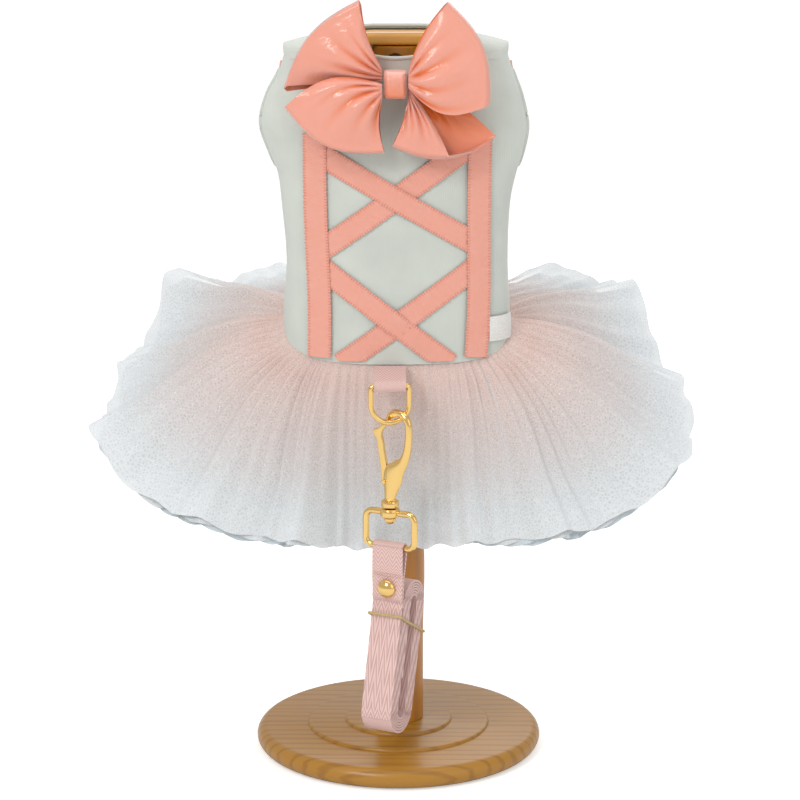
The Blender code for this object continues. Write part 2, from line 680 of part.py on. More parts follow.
def build_skirt():
    """Three gathered tulle layers, flaring sideways and hanging steeply in front."""
    hem = BODICE_SECTIONS[0]
    columns = GATHERS * GATHER_STEPS
    for layer, name in enumerate(("skirt_top", "skirt_middle", "skirt_under")):
        inset = TULLE / 2
        half_width = BODICE_HALF_WIDTH * hem.half_width - inset
        half_depth = BODICE_HALF_DEPTH * hem.half_depth - inset
        length = SKIRT_LENGTH * LAYER_TRIM ** layer
        rows = []
        for s in (0.0, 0.10, 0.36, 0.68, 1.0):
            ring = []
            for i in range(columns):
                turn = 2 * math.pi * i / columns
                waist = ring_point(turn, half_width, half_depth, hem.shift * BODICE_HALF_WIDTH)
                waist.z = hem_height(waist.y, half_depth) - WAIST_GAP - TULLE / 2
                reach, drop = flare_at(math.degrees(turn))
                drop += LAYER_DROOP * layer * s * (1 if reach > 0.3 else reach / 0.3)
                out = Vector((-math.sin(turn), -math.cos(turn), 0.0))
                steep = Vector((reach, drop)).normalized()
                normal = out * steep.y + UP * steep.x
                puff = WAIST_PUFF * math.sin(math.pi * min(1.0, s * 1.4)) * (1 - 0.16 * layer)
                calm = 0.35 + 0.65 * min(1.0, reach / 0.3)
                wave = GATHER_DEPTH * math.sin(GATHERS * turn + 0.6) * s ** 0.8 * calm
                scallop = 1 + 0.018 * math.sin(5 * turn + 1.0)
                point = waist + out * reach * length * s * scallop
                point -= UP * drop * length * s ** 1.1 * scallop
                ring.append(point + normal * (puff * calm + wave - layer * LAYER_PITCH))
            rows.append(ring)
        bm = grid_mesh(rows, wrapped=True)
        thicken(add_object(name, bm, "tulle", 80), TULLE, 0.0)


def ring_frame():
    """The D-ring's centre line place and its level axes."""
    hook_along, _ = yawed(HOOK_YAW)
    along, across = yawed(D_RING_YAW)
    crossing = HANG + hook_along * HOOK_CROSSING
    middle = crossing - along * (crossing.x - HANG.x) / along.x
    return middle, along, across


def ring_bar_height():
    """The height of the D-ring's straight bar, which the tab holds."""
    return D_RING_BOTTOM + D_RING_HEIGHT - D_RING_WIRE / 2


def build_ring_and_tab():
    """The U-shaped ring with its bar, and the webbing tab folded round the bar."""
    middle, along, across = ring_frame()
    half = D_RING_WIDTH / 2 - D_RING_WIRE / 2
    corner = D_RING_WIRE * 0.6
    bar = ring_bar_height()
    bottom = D_RING_BOTTOM + D_RING_WIRE / 2
    route = []
    for i in range(11):
        angle = math.pi * i / 10
        route.append((-half * math.cos(angle), bottom + half - half * math.sin(angle)))
    for k, (sx, base) in enumerate(((1, 0.0), (-1, math.pi / 2))):
        for step in range(4):
            angle = base + math.pi / 2 * step / 3
            route.append((sx * (half - corner) + corner * math.cos(angle),
                          bar - corner + corner * math.sin(angle)))
    rings = []
    count = len(route)
    for i, (u, z) in enumerate(route):
        before, after = route[i - 1], route[(i + 1) % count]
        heading = (along * (after[0] - before[0]) + UP * (after[1] - before[1])).normalized()
        rings.append(circle(middle + along * u + UP * z, across, heading.cross(across), 8, D_RING_WIRE / 2))
    add_object("d_ring", loft(rings, closed=True), "gold", 70)

    wrap = D_RING_WIRE / 2 + GAP + WEBBING / 2
    hem_front = -BODICE_SECTIONS[0].half_depth * BODICE_HALF_DEPTH
    reach = hem_front - WEBBING / 2 - GAP * 2 - middle.y
    hem_z = BODICE_BOTTOM - WEBBING / 2 - GAP
    profile = [(reach, hem_z), (reach * 0.5, lerp(hem_z, bar + wrap, 0.55))]
    profile += [(wrap * math.cos(a), bar + wrap * math.sin(a))
                for a in (math.radians(d) for d in range(90, 271, 30))]
    profile += [(reach * 0.5, lerp(hem_z, bar - wrap, 0.62) - WEBBING * 0.6),
                (reach, hem_z - WEBBING - GAP * 1.5)]
    rows = []
    for back, z in profile:
        turn = lerp(1.0, 0.0, min(1.0, max(0.0, back / reach)))
        side = (Vector((1, 0, 0)) * (1 - turn) + along * turn).normalized()
        centre = middle + Vector((0, 1, 0)) * back
        rows.append([Vector((centre.x, centre.y, z)) + side * w for w in (-TAB_WIDTH / 2, TAB_WIDTH / 2)])
    thicken(add_object("ring_tab", grid_mesh(rows), "webbing"), WEBBING, 0.0)


def build_hook():
    """The snap hook with its collar and swivel stem, and the sprung gate on its pin."""
    along, across = yawed(HOOK_YAW)
    half = HOOK_WIRE / 2
    sections = []
    for i, degrees in enumerate(range(160, -1, -20)):
        angle = math.radians(degrees)
        slim = (0.68, 0.86)[i] if i < 2 else 1.0
        u = HOOK_EYE_SHIFT + HOOK_EYE_RADIUS * math.cos(angle)
        z = HOOK_EYE_HEIGHT + HOOK_EYE_RADIUS * math.sin(angle)
        sections.append((u, z, half * slim, half * slim))
    sections += list(HOOK_SHANK)
    rings = []
    for i, (u, z, half_width, half_thickness) in enumerate(sections):
        before, after = sections[max(i - 1, 0)], sections[min(i + 1, len(sections) - 1)]
        heading = (along * (after[0] - before[0]) + UP * (after[1] - before[1])).normalized()
        if i == len(sections) - 1:
            heading = -UP
        side = heading.cross(across)
        rings.append(circle(HANG + along * u + UP * z, side, across, 10, half_width, half_thickness))
    stem, head, collar = STEM_DIAMETER / 2, STEM_HEAD_DIAMETER / 2, COLLAR_DIAMETER / 2
    boss_low = SWIVEL_TOP - BOSS_HEIGHT / 2
    collar_low = COLLAR_TOP - COLLAR_HEIGHT
    turned_part = [(collar * 0.80, COLLAR_TOP), (collar, COLLAR_TOP - COLLAR_HEIGHT * 0.25),
                   (collar, COLLAR_TOP - COLLAR_HEIGHT * 0.75), (collar * 0.80, collar_low),
                   (stem, collar_low - MERGE),
                   (stem, boss_low - GAP), (head, boss_low - GAP - 0.0002), (head * 0.95, boss_low - 0.0022),
                   (head * 0.55, boss_low - 0.0046)]
    for radius, z in turned_part:
        rings.append(circle(HANG + UP * z, Vector((0, 0, -1)).cross(across), across, 10, radius))
    hook = add_object("hook_body", loft(rings), "gold", 60)

    slot = GATE_THICKNESS + GAP * 2
    low, high = GATE_PIVOT[1] - 0.0060, GATE_PIVOT[1] + 0.0165
    corners = ((-0.0120, low + 0.002), (0.0026, low), (0.0046, low + 0.008), (0.0040, high), (-0.0120, high))
    base = HANG - across * slot / 2
    cut(hook, "slot_cutter", prism([base + along * u + UP * z for u, z in corners], across * slot))
    pin = HANG + along * GATE_PIVOT[0] + UP * GATE_PIVOT[1] - across * HOOK_BODY_THICKNESS * 0.36
    core = prism(circle(pin, along, UP, 12, PIN_DIAMETER / 2), across * HOOK_BODY_THICKNESS * 0.72)
    cut(hook, "pin_core", core, "UNION")

    base = HANG - across * GATE_THICKNESS / 2
    outline = [base + along * u + UP * z for u, z in GATE_OUTLINE]
    gate = add_object("hook_gate", prism(outline, across * GATE_THICKNESS), "gold")
    eye = HANG + along * GATE_PIVOT[0] + UP * GATE_PIVOT[1] - across * GATE_THICKNESS
    bore = circle(eye, along, UP, 16, PIN_DIAMETER / 2 + GAP)
    cut(gate, "pin_cutter", prism(bore, across * GATE_THICKNESS * 2))


def build_swivel_ring():
    """The rectangular wire ring with the round boss that turns on the hook's stem."""
    along, across = yawed(SWIVEL_YAW)
    half = SWIVEL_WIDTH / 2 - SWIVEL_WIRE / 2
    route = []
    corners = ((1, SWIVEL_TOP, 0), (-1, SWIVEL_TOP, 90), (-1, SWIVEL_BOTTOM, 180), (1, SWIVEL_BOTTOM, 270))
    for cx, cz, base in corners:
        inward = -SWIVEL_CORNER if cz == SWIVEL_TOP else SWIVEL_CORNER
        for step in range(4):
            angle = math.radians(base + 30 * step)
            route.append((cx * (half - SWIVEL_CORNER) + SWIVEL_CORNER * math.cos(angle),
                          cz + inward + SWIVEL_CORNER * math.sin(angle)))
    rings = []
    for i, (u, z) in enumerate(route):
        before, after = route[i - 1], route[(i + 1) % len(route)]
        heading = (along * (after[0] - before[0]) + UP * (after[1] - before[1])).normalized()
        rings.append(circle(HANG + along * u + UP * z, across, heading.cross(across), 8, SWIVEL_WIRE / 2))
    ring = add_object("swivel_ring", loft(rings, closed=True), "gold", 70)
    low = HANG + UP * (SWIVEL_TOP - BOSS_HEIGHT / 2)
    boss = [circle(low + UP * BOSS_HEIGHT * h, along, across, 16, BOSS_DIAMETER / 2 * r)
            for h, r in ((0.0, 0.82), (0.25, 1.0), (0.75, 1.0), (1.0, 0.82))]
    cut(ring, "boss_core", loft(boss), "UNION")
    bore = circle(low - UP * BOSS_HEIGHT, along, across, 16, STEM_DIAMETER / 2 + GAP)
    cut(ring, "boss_bore", prism(bore, UP * BOSS_HEIGHT * 3))


def hank_point(radius, straight, phi):
    """A place (back, z) of the hank's winding; phi 0 is the front going down."""
    up = Vector((math.sin(HANK_TILT), math.cos(HANK_TILT)))
    back = Vector((math.cos(HANK_TILT), -math.sin(HANK_TILT)))
    centre = Vector((HANK_CENTRE_BACK, HANK_CENTRE_Z))
    end = -1 if phi <= math.pi else 1
    b = -radius * math.cos(phi)
    a = end * straight / 2 - radius * math.sin(phi)
    return centre + up * a + back * b


def leash_path():
    """The strap's side view (back, z): tail, fold round the ring, strap, then the hank."""
    wrap = SWIVEL_WIRE / 2 + GAP + WEBBING / 2
    outer = HANK_DEPTH / 2 - WEBBING / 2
    straight = HANK_HEIGHT - HANK_DEPTH
    front = hank_point(outer, straight, 2 * math.pi)
    ply = WEBBING + GAP
    lead = front.x - ply - 0.0004
    path = [Vector((lead + ply, front.y - 0.0035)), Vector((lead + ply, front.y + 0.003)),
            Vector((lerp(lead, 0, 0.25) + ply, RIVET_Z + 0.006)),
            Vector((lead * 0.3 + ply * 1.25, RIVET_Z + 0.014))]
    path += [Vector((wrap * math.cos(a), SWIVEL_BOTTOM + wrap * math.sin(a)))
             for a in (math.radians(d) for d in range(0, 181, 30))]
    path += [Vector((lead * 0.75 - 0.0004, RIVET_Z + 0.014)), Vector((lerp(lead, 0, 0.25), RIVET_Z + 0.006)),
             Vector((lead, front.y + 0.003)), Vector((lead - 0.0002, front.y - 0.0055))]
    radius = outer
    for turn in range(HANK_TURNS):
        for end in (0, 1):
            for step in range(ARC_STEPS + 1):
                phi = math.pi * (end + step / ARC_STEPS)
                radius = outer - HANK_PITCH * (turn + phi / (2 * math.pi))
                path.append(hank_point(radius, straight, phi if end == 0 or step else math.pi + 0.0001))
    path.append(hank_point(radius, -straight * 0.4, 2 * math.pi))
    return path


def leash_place(back, z, width):
    """A point of the leash from its side view and its place across the strap."""
    along, across = yawed(SWIVEL_YAW)
    return HANG + across * back + UP * z + along * width


def build_leash():
    """One webbing strap, its dome rivet, and the rubber band round the hank."""
    half = WEBBING_WIDTH / 2
    rows = [[leash_place(p.x, p.y, -half), leash_place(p.x, p.y, half)] for p in leash_path()]
    thicken(add_object("leash_webbing", grid_mesh(rows), "webbing", 50), WEBBING, 0.0)

    along, across = yawed(SWIVEL_YAW)
    strap = leash_path()
    below, above = strap[13], strap[12]
    t = (RIVET_Z - below.y) / (above.y - below.y)
    face = lerp(below.x, above.x, t) - WEBBING / 2 - GAP * 1.5
    seat = leash_place(face, RIVET_Z, 0.0)
    rings = [circle(seat - across * RIVET_HEIGHT * depth, along, UP, 16, RIVET_DIAMETER / 2 * share)
             for depth, share in ((0.0, 0.94), (0.2, 1.0), (0.55, 0.86), (0.85, 0.55), (1.0, 0.22))]
    add_object("leash_rivet", loft(rings), "gold", 60)

    clear = GAP + RUBBER / 2
    half += clear
    up = Vector((math.sin(HANK_TILT), math.cos(HANK_TILT)))
    back = Vector((math.cos(HANK_TILT), -math.sin(HANK_TILT)))
    centre = Vector((HANK_CENTRE_BACK, HANK_CENTRE_Z))
    depth = HANK_DEPTH / 2 + clear
    rise = (BAND_Z - HANK_CENTRE_Z - depth * math.sin(HANK_TILT)) / math.cos(HANK_TILT)
    front_extra = 0.0022    # room for the strap's lead and its folded tail
    corner = 0.001
    rows = []
    for level in (-0.5, 0.5):
        ring = []
        for b, u in ((-depth - front_extra, -half + corner), (-depth - front_extra, half - corner),
                     (-depth, half), (depth - corner, half), (depth, half - corner),
                     (depth, -half + corner), (depth - corner, -half), (-depth, -half)):
            a = rise - 0.0045 * (b / depth + 1) + RUBBER_HEIGHT * level
            place = centre + up * a + back * b
            ring.append(leash_place(place.x, place.y, u))
        rows.append(ring)
    thicken(add_object("rubber_band", grid_mesh(rows, wrapped=True), "rubber"), RUBBER, 0.0)


def main():
    """Build every piece."""
    clear_scene()
    build_stand()
    build_bodice()
    build_ribbons()
    build_side_pieces()
    build_bow()
    build_skirt()
    build_ring_and_tab()
    build_hook()
    build_swivel_ring()
    build_leash()


main()
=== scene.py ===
"""A small dog's tutu dress and its clip-on leash, on a turned wooden display stand.

Everything is in metres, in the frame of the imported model: +Z is up, +X is to the right of
someone facing the dress's front, and +Y is to the back.
"""
from __future__ import annotations

import logging
import math
from bisect import bisect_right
from dataclasses import dataclass
from enum import Enum
from typing import Callable, Sequence

import bmesh
import bpy
import numpy as np
from mathutils import Matrix, Vector, noise
from mathutils.bvhtree import BVHTree


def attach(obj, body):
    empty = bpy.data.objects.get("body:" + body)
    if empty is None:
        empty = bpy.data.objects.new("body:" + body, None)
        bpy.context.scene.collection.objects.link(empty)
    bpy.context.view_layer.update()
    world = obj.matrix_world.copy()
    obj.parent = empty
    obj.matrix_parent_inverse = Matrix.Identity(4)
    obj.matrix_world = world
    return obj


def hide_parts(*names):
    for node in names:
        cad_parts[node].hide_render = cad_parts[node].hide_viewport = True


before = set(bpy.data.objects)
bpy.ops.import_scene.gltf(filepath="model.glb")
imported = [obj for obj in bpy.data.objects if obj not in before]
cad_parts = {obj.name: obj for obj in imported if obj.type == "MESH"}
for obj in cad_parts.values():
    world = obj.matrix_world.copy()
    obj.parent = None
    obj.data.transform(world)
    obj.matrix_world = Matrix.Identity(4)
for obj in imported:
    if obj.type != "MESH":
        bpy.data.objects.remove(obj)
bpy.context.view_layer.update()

LOG = logging.getLogger("tutu_dress")
UP = Vector((0.0, 0.0, 1.0))
HANG = Vector((-0.0050, -0.0630, 0.0))  # the snap hook's upright axis
Rows = list[list[Vector]]


def lerp(a: float, b: float, t: float) -> float:
    """The value a share t of the way from a to b."""
    return a + (b - a) * t


def clamp(value: float, low: float = 0.0, high: float = 1.0) -> float:
    """The value, kept between two limits."""
    return max(low, min(high, value))


def spline(table: Sequence[Sequence[float]], place: float) -> list[float]:
    """Read a smooth curve through a table.

    Args:
        table: Rows of numbers; the first of each row is its place and rises.
        place: Where to read.

    Returns:
        The other columns' values at that place.
    """
    places = [row[0] for row in table]
    i = int(clamp(bisect_right(places, place) - 1, 0, len(table) - 2))
    low, high = table[i], table[i + 1]
    before, after = table[max(i - 1, 0)], table[min(i + 2, len(table) - 1)]
    span = high[0] - low[0]
    t = clamp((place - low[0]) / span)
    weights = (2 * t**3 - 3 * t**2 + 1, t**3 - 2 * t**2 + t, 3 * t**2 - 2 * t**3, t**3 - t**2)
    values = []
    for column in range(1, len(low)):
        start = (high[column] - before[column]) / (high[0] - before[0]) * span
        end = (after[column] - low[column]) / (after[0] - low[0]) * span
        parts = (low[column], start, high[column], end)
        values.append(sum(weight * part for weight, part in zip(weights, parts)))
    return values


def smooth_line(points: Sequence[Sequence[float]], fine: int, closed: bool = False) -> list[Vector]:
    """Put more points on a line, along a smooth curve through its own.

    Args:
        points: The line's points, of any number of coordinates.
        fine: New points for each old one.
        closed: If the line returns to its start.

    Returns:
        The finer line.
    """
    line = [Vector(point) for point in points]
    count = len(line)
    spans = count if closed else count - 1
    made = []
    for i in range(spans):
        around = [line[(i + k) % count] if closed else line[int(clamp(i + k, 0, count - 1))]
                  for k in (-1, 0, 1, 2)]
        for step in range(fine):
            t = step / fine
            made.append(0.5 * (2 * around[1] + (around[2] - around[0]) * t
                               + (2 * around[0] - 5 * around[1] + 4 * around[2] - around[3]) * t**2
                               + (3 * around[1] - around[0] - 3 * around[2] + around[3]) * t**3))
    return made if closed else made + [line[-1]]


def yawed(degrees: float) -> tuple[Vector, Vector]:
    """The level unit vectors along and across a piece that is turned about the upright."""
    yaw = math.radians(degrees)
    return Vector((math.cos(yaw), math.sin(yaw), 0.0)), Vector((-math.sin(yaw), math.cos(yaw), 0.0))


def linear(code: str, alpha: float = 1.0) -> tuple[float, float, float, float]:
    """Turn an sRGB hex colour to the linear one that a shader takes.

    Args:
        code: Six hex digits after a hash sign.
        alpha: The fourth value.

    Returns:
        Linear red, green and blue, and alpha.
    """
    parts = [int(code[i:i + 2], 16) / 255 for i in (1, 3, 5)]
    red, green, blue = (p / 12.92 if p <= 0.04045 else ((p + 0.055) / 1.055) ** 2.4 for p in parts)
    return red, green, blue, alpha


def deselect() -> None:
    """Leave edit mode with nothing selected."""
    if bpy.context.mode != "OBJECT":
        bpy.ops.object.mode_set(mode="OBJECT")
    bpy.ops.object.select_all(action="DESELECT")


def activate(obj: bpy.types.Object) -> None:
    """Make an object the only selected one and the active one.

    Args:
        obj: The object.
    """
    deselect()
    obj.select_set(True)
    bpy.context.view_layer.objects.active = obj


def modify(obj: bpy.types.Object, kind: str, **settings: object) -> bpy.types.Object:
    """Add a modifier and apply it.

    Args:
        obj: The piece.
        kind: The modifier's type.
        settings: Its properties.

    Returns:
        The piece.
    """
    activate(obj)
    modifier = obj.modifiers.new(kind.lower(), kind)
    for key, value in settings.items():
        setattr(modifier, key, value)
    bpy.ops.object.modifier_apply(modifier=modifier.name)
    return obj


def carve(obj: bpy.types.Object, cutter: bpy.types.Object, operation: str = "DIFFERENCE") -> bpy.types.Object:
    """Cut a piece with another object, which is then removed.

    Args:
        obj: The piece.
        cutter: The object to cut with.
        operation: The boolean operation.

    Returns:
        The cut piece.
    """
    modify(obj, "BOOLEAN", object=cutter, operation=operation, solver="EXACT")
    bpy.data.objects.remove(cutter, do_unlink=True)
    return obj


def rod(radius: float, start: Vector, end: Vector, sides: int = 32, flat: float = 1.0) -> bpy.types.Object:
    """A round or oval rod between two points, from the cylinder primitive.

    Args:
        radius: Across its first axis.
        start: Centre of one end.
        end: Centre of the other end.
        sides: Faces round it.
        flat: Its upright radius as a share of the first.

    Returns:
        The new object.
    """
    deselect()
    heading = end - start
    bpy.ops.mesh.primitive_cylinder_add(vertices=sides, radius=radius, depth=heading.length)
    made = bpy.context.object
    side = heading.cross(UP).normalized() if heading.cross(UP).length > 1e-6 else Vector((1, 0, 0))
    up = heading.cross(side).normalized()
    turn = Matrix((side, up * flat, heading.normalized())).transposed().to_4x4()
    made.data.transform(Matrix.Translation((start + end) / 2) @ turn)
    return made


def turned(profile: Sequence[tuple[float, float]], sides: int, centre: Vector = Vector()) -> bpy.types.Object:
    """Model a turned piece: a disc is extruded up its profile and scaled at each step.

    Args:
        profile: (radius, height) from the bottom to the top.
        sides: Faces round it.
        centre: The turning axis's foot.

    Returns:
        The new object.
    """
    deselect()
    radius, height = profile[0]
    bpy.ops.mesh.primitive_circle_add(vertices=sides, radius=radius, fill_type="NGON",
                                      location=centre + UP * height)
    made = bpy.context.object
    bpy.ops.object.mode_set(mode="EDIT")
    bpy.ops.mesh.select_all(action="SELECT")
    for (narrow, low), (wide, high) in zip(profile, profile[1:]):
        bpy.ops.mesh.extrude_region_move(TRANSFORM_OT_translate={"value": (0, 0, high - low)})
        share = wide / narrow
        bpy.ops.transform.resize(value=(share, share, 1), center_override=centre + UP * high)
    bpy.ops.mesh.select_all(action="SELECT")
    bpy.ops.mesh.normals_make_consistent(inside=False)
    bpy.ops.object.mode_set(mode="OBJECT")
    return made


def cloth(rows: Rows, size: tuple[float, float], wrapped: bool = False,
          painted_shade: Sequence[Sequence[float]] | None = None) -> bpy.types.Object:
    """Weave rows of points into a sheet with a UV map in metres.

    Args:
        rows: Points, row by row.
        size: The flat width and length, for the UV map.
        wrapped: If each row closes on itself.
        painted_shade: The painted warm shade at each point, 0 to 1, kept for the finish as the fold
            attribute.

    Returns:
        The new object.
    """
    count = len(rows[0])
    spans = count if wrapped else count - 1
    faces, places = [], []
    for i in range(len(rows) - 1):
        for j in range(spans):
            k = (j + 1) % count
            faces.append((i * count + j, i * count + k, (i + 1) * count + k, (i + 1) * count + j))
            places += [(j, i), (j + 1, i), (j + 1, i + 1), (j, i + 1)]
    mesh = bpy.data.meshes.new("cloth")
    mesh.from_pydata([point for row in rows for point in row], [], faces)
    grid = np.array(places, float) * (size[0] / spans, size[1] / (len(rows) - 1))
    mesh.uv_layers.new(name="flat").data.foreach_set("uv", grid.ravel())
    # the painted shade goes on as the fold attribute, which the satin finish reads
    if painted_shade is not None:
        mesh.attributes.new("fold", "FLOAT", "POINT").data.foreach_set("value",
                np.array(painted_shade, float).ravel())
    made = bpy.data.objects.new("cloth", mesh)
    bpy.context.scene.collection.objects.link(made)
    return made


def loft(rings: Rows, closed: bool = False) -> bpy.types.Object:
    """Skin equal rings of points.

    Args:
        rings: The sections, in order.
        closed: If the last ring joins the first; otherwise both ends are capped.

    Returns:
        The new object.
    """
    bm = bmesh.new()
    loops = [[bm.verts.new(point) for point in ring] for ring in rings]
    count = len(rings[0])
    for low, high in zip(loops, loops[1:] + loops[:1] if closed else loops[1:]):
        for j in range(count):
            k = (j + 1) % count
            bm.faces.new((low[j], low[k], high[k], high[j]))
    if not closed:
        bm.faces.new(loops[0])
        bm.faces.new(loops[-1])
    bmesh.ops.recalc_face_normals(bm, faces=bm.faces)
    mesh = bpy.data.meshes.new("loft")
    bm.to_mesh(mesh)
    bm.free()
    made = bpy.data.objects.new("loft", mesh)
    bpy.context.scene.collection.objects.link(made)
    return made


def oval(centre: Vector, across: Vector, up: Vector, sides: int, radius: float,
         radius_up: float = 0.0) -> list[Vector]:
    """Points round an ellipse that lies along two unit vectors.

    Args:
        centre: The middle.
        across: The first unit vector.
        up: The second unit vector.
        sides: The number of points.
        radius: The reach along across.
        radius_up: The reach along up, or 0 for a circle.

    Returns:
        The points in order.
    """
    turn = 2 * math.pi / sides
    return [centre + across * radius * math.cos(i * turn) + up * (radius_up or radius) * math.sin(i * turn)
            for i in range(sides)]


def wire(route: Sequence[Vector], radius: float, across: Vector | None = None, closed: bool = False,
         sides: int = 20, flat: float = 1.0) -> bpy.types.Object:
    """Bend a wire along a route.

    Args:
        route: Its centre line.
        radius: The wire's radius.
        across: The way its flat side faces; upright where it is None.
        closed: If its ends meet.
        sides: Faces round it.
        flat: Its thickness across as a share of its width.

    Returns:
        The new object.
    """
    rings = []
    for i, point in enumerate(route):
        before = route[i - 1] if closed or i else point
        after = route[(i + 1) % len(route)] if closed or i < len(route) - 1 else point
        heading = (after - before).normalized()
        facing = across or heading.orthogonal().normalized()
        if across is None:
            level = abs(heading.z) < 0.98
            facing = (UP - heading * UP.dot(heading)).normalized() if level else Vector((0, 1, 0))
        rings.append(oval(point, facing, heading.cross(facing).normalized(), sides, radius * flat, radius))
    return loft(rings, closed)


def stitches(places: Sequence[tuple[Vector, Vector, Vector]], length: float,
             thickness: float) -> bpy.types.Object:
    """Lay equal thread stitches.

    Args:
        places: The middle, heading and outward direction of each.
        length: One stitch's length.
        thickness: The thread's thickness.

    Returns:
        One object with all of them.
    """
    bm = bmesh.new()
    for middle, heading, outward in places:
        side = outward.cross(heading).normalized()
        turn = Matrix((heading.normalized() * length / 2, side * thickness / 2,
                       outward.normalized() * thickness / 2))
        place = Matrix.Translation(middle) @ turn.transposed().to_4x4()
        bmesh.ops.create_uvsphere(bm, u_segments=8, v_segments=5, radius=1.0,
                                  matrix=place @ Matrix.Rotation(math.pi / 2, 4, "Y"))
    mesh = bpy.data.meshes.new("stitches")
    bm.to_mesh(mesh)
    bm.free()
    made = bpy.data.objects.new("stitches", mesh)
    bpy.context.scene.collection.objects.link(made)
    return made


def add(tree: bpy.types.NodeTree, kind: str, settings: dict | None = None,
        links: dict | None = None) -> bpy.types.Node:
    """Add a shader node.

    Args:
        tree: The material's nodes.
        kind: The node's type, without its ShaderNode prefix.
        settings: Sockets' values and properties by name; stops are a ramp's (place, hex) pairs.
        links: Sockets to join to this node's inputs, by name or number.

    Returns:
        The node.
    """
    made = tree.nodes.new("ShaderNode" + kind)
    for key, value in (settings or {}).items():
        if key == "stops":
            while len(made.color_ramp.elements) < len(value):
                made.color_ramp.elements.new(0.5)
            for element, (place, code) in zip(made.color_ramp.elements, value):
                element.position, element.color = place, linear(code)
        elif isinstance(key, int) or key in made.inputs:
            made.inputs[key].default_value = value
        else:
            setattr(made, key, value)
    for key, socket in (links or {}).items():
        tree.links.new(socket, made.inputs[key])
    return made


def bands(spacing: float) -> float:
    """The wave texture's scale for a band every so many metres."""
    return 0.1 * math.pi / spacing


class Grain(Enum):
    """Which way the wood's grain runs: the scale of its pattern along x, y and z."""
    UPRIGHT = (1.0, 1.0, 0.06)
    LEVEL = (0.07, 1.0, 1.0)


class Held(Enum):
    """How a sheet of cloth is held."""
    HUNG = "hung"
    GATHERED = "gathered"
    FOLDED = "folded"
    LAID = "laid"


@dataclass(frozen=True)
class Finish:
    """A real surface, as the material that shows it."""
    name: str
    colour: str
    roughness: float

    def material(self) -> bpy.types.Material:
        """The finish's material, made on first use.

        Returns:
            The material.
        """
        found = bpy.data.materials.get(self.name)
        if found:
            return found
        made = bpy.data.materials.new(self.name)
        made.use_nodes = True
        shader = made.node_tree.nodes["Principled BSDF"]
        shader.inputs["Base Color"].default_value = linear(self.colour)
        shader.inputs["Roughness"].default_value = self.roughness
        self.dress(made.node_tree, shader)
        return made

    def dress(self, tree: bpy.types.NodeTree, shader: bpy.types.Node) -> None:
        """Add the pattern and relief of the finish."""


@dataclass(frozen=True)
class Pine(Finish):
    """Turned pine under clear lacquer: golden, with darker late-wood lines and a soft gloss."""
    late_wood: str = "#A9702A"
    grain: Grain = Grain.UPRIGHT
    ring_width: float = 0.0085

    def dress(self, tree: bpy.types.NodeTree, shader: bpy.types.Node) -> None:
        """Grain lines, fine fibres and a lacquer coat.

        Args:
            tree: The material's nodes.
            shader: Its principled shader.
        """
        place = add(tree, "TexCoord")
        fibre = add(tree, "Mapping", {"Scale": self.grain.value}, {"Vector": place.outputs["Object"]})
        rings = add(tree, "TexWave",
                    {"wave_type": "BANDS", "bands_direction": "Y", "Scale": bands(self.ring_width),
                                      "Distortion": 9.0, "Detail": 3.0, "Detail Scale": 0.8,
                                      "Detail Roughness": 0.6},
                    {"Vector": fibre.outputs["Vector"]})
        fine = add(tree, "TexNoise", {"Scale": 900.0, "Detail": 4.0}, {"Vector": fibre.outputs["Vector"]})
        mixed = add(tree, "Math", {"operation": "MULTIPLY_ADD", 1: 0.35},
                    {0: fine.outputs["Fac"], 2: rings.outputs["Fac"]})
        tone = add(tree, "ValToRGB",
                   {"stops": [(0.12, self.late_wood), (0.55, self.colour), (1.0, self.colour)]},
                   {"Fac": mixed.outputs[0]})
        tree.links.new(tone.outputs["Color"], shader.inputs["Base Color"])
        relief = add(tree, "Bump", {"Strength": 0.12, "Distance": 0.0003}, {"Height": mixed.outputs[0]})
        tree.links.new(relief.outputs["Normal"], shader.inputs["Normal"])
        shader.inputs["Coat Weight"].default_value = 0.35
        shader.inputs["Coat Roughness"].default_value = 0.18


@dataclass(frozen=True)
class Knit(Finish):
    """Matt cotton knit: soft, with a faint mottle and a fine rib too small to count."""
    shade: str = "#C6CBC3"
    rib: float = 0.0011

    def dress(self, tree: bpy.types.NodeTree, shader: bpy.types.Node) -> None:
        """A broad mottle, fine ribs and a little fuzz.

        Args:
            tree: The material's nodes.
            shader: Its principled shader.
        """
        place = add(tree, "TexCoord")
        mottle = add(tree, "TexNoise", {"Scale": 26.0, "Detail": 3.0}, {"Vector": place.outputs["Object"]})
        tone = add(tree, "ValToRGB", {"stops": [(0.30, self.shade), (0.68, self.colour)]},
                   {"Fac": mottle.outputs["Fac"]})
        tree.links.new(tone.outputs["Color"], shader.inputs["Base Color"])
        rib = add(tree, "TexWave", {"bands_direction": "X", "Scale": bands(self.rib), "Distortion": 0.6},
                  {"Vector": place.outputs["Object"]})
        fuzz = add(tree, "TexNoise", {"Scale": 1400.0, "Detail": 2.0}, {"Vector": place.outputs["Object"]})
        height = add(tree, "Math", {"operation": "MULTIPLY_ADD", 1: 0.8},
                     {0: fuzz.outputs["Fac"], 2: rib.outputs["Fac"]})
        relief = add(tree, "Bump", {"Strength": 0.16, "Distance": 0.0003}, {"Height": height.outputs[0]})
        tree.links.new(relief.outputs["Normal"], shader.inputs["Normal"])
        shader.inputs["Sheen Weight"].default_value = 0.25
        shader.inputs["Sheen Roughness"].default_value = 0.6


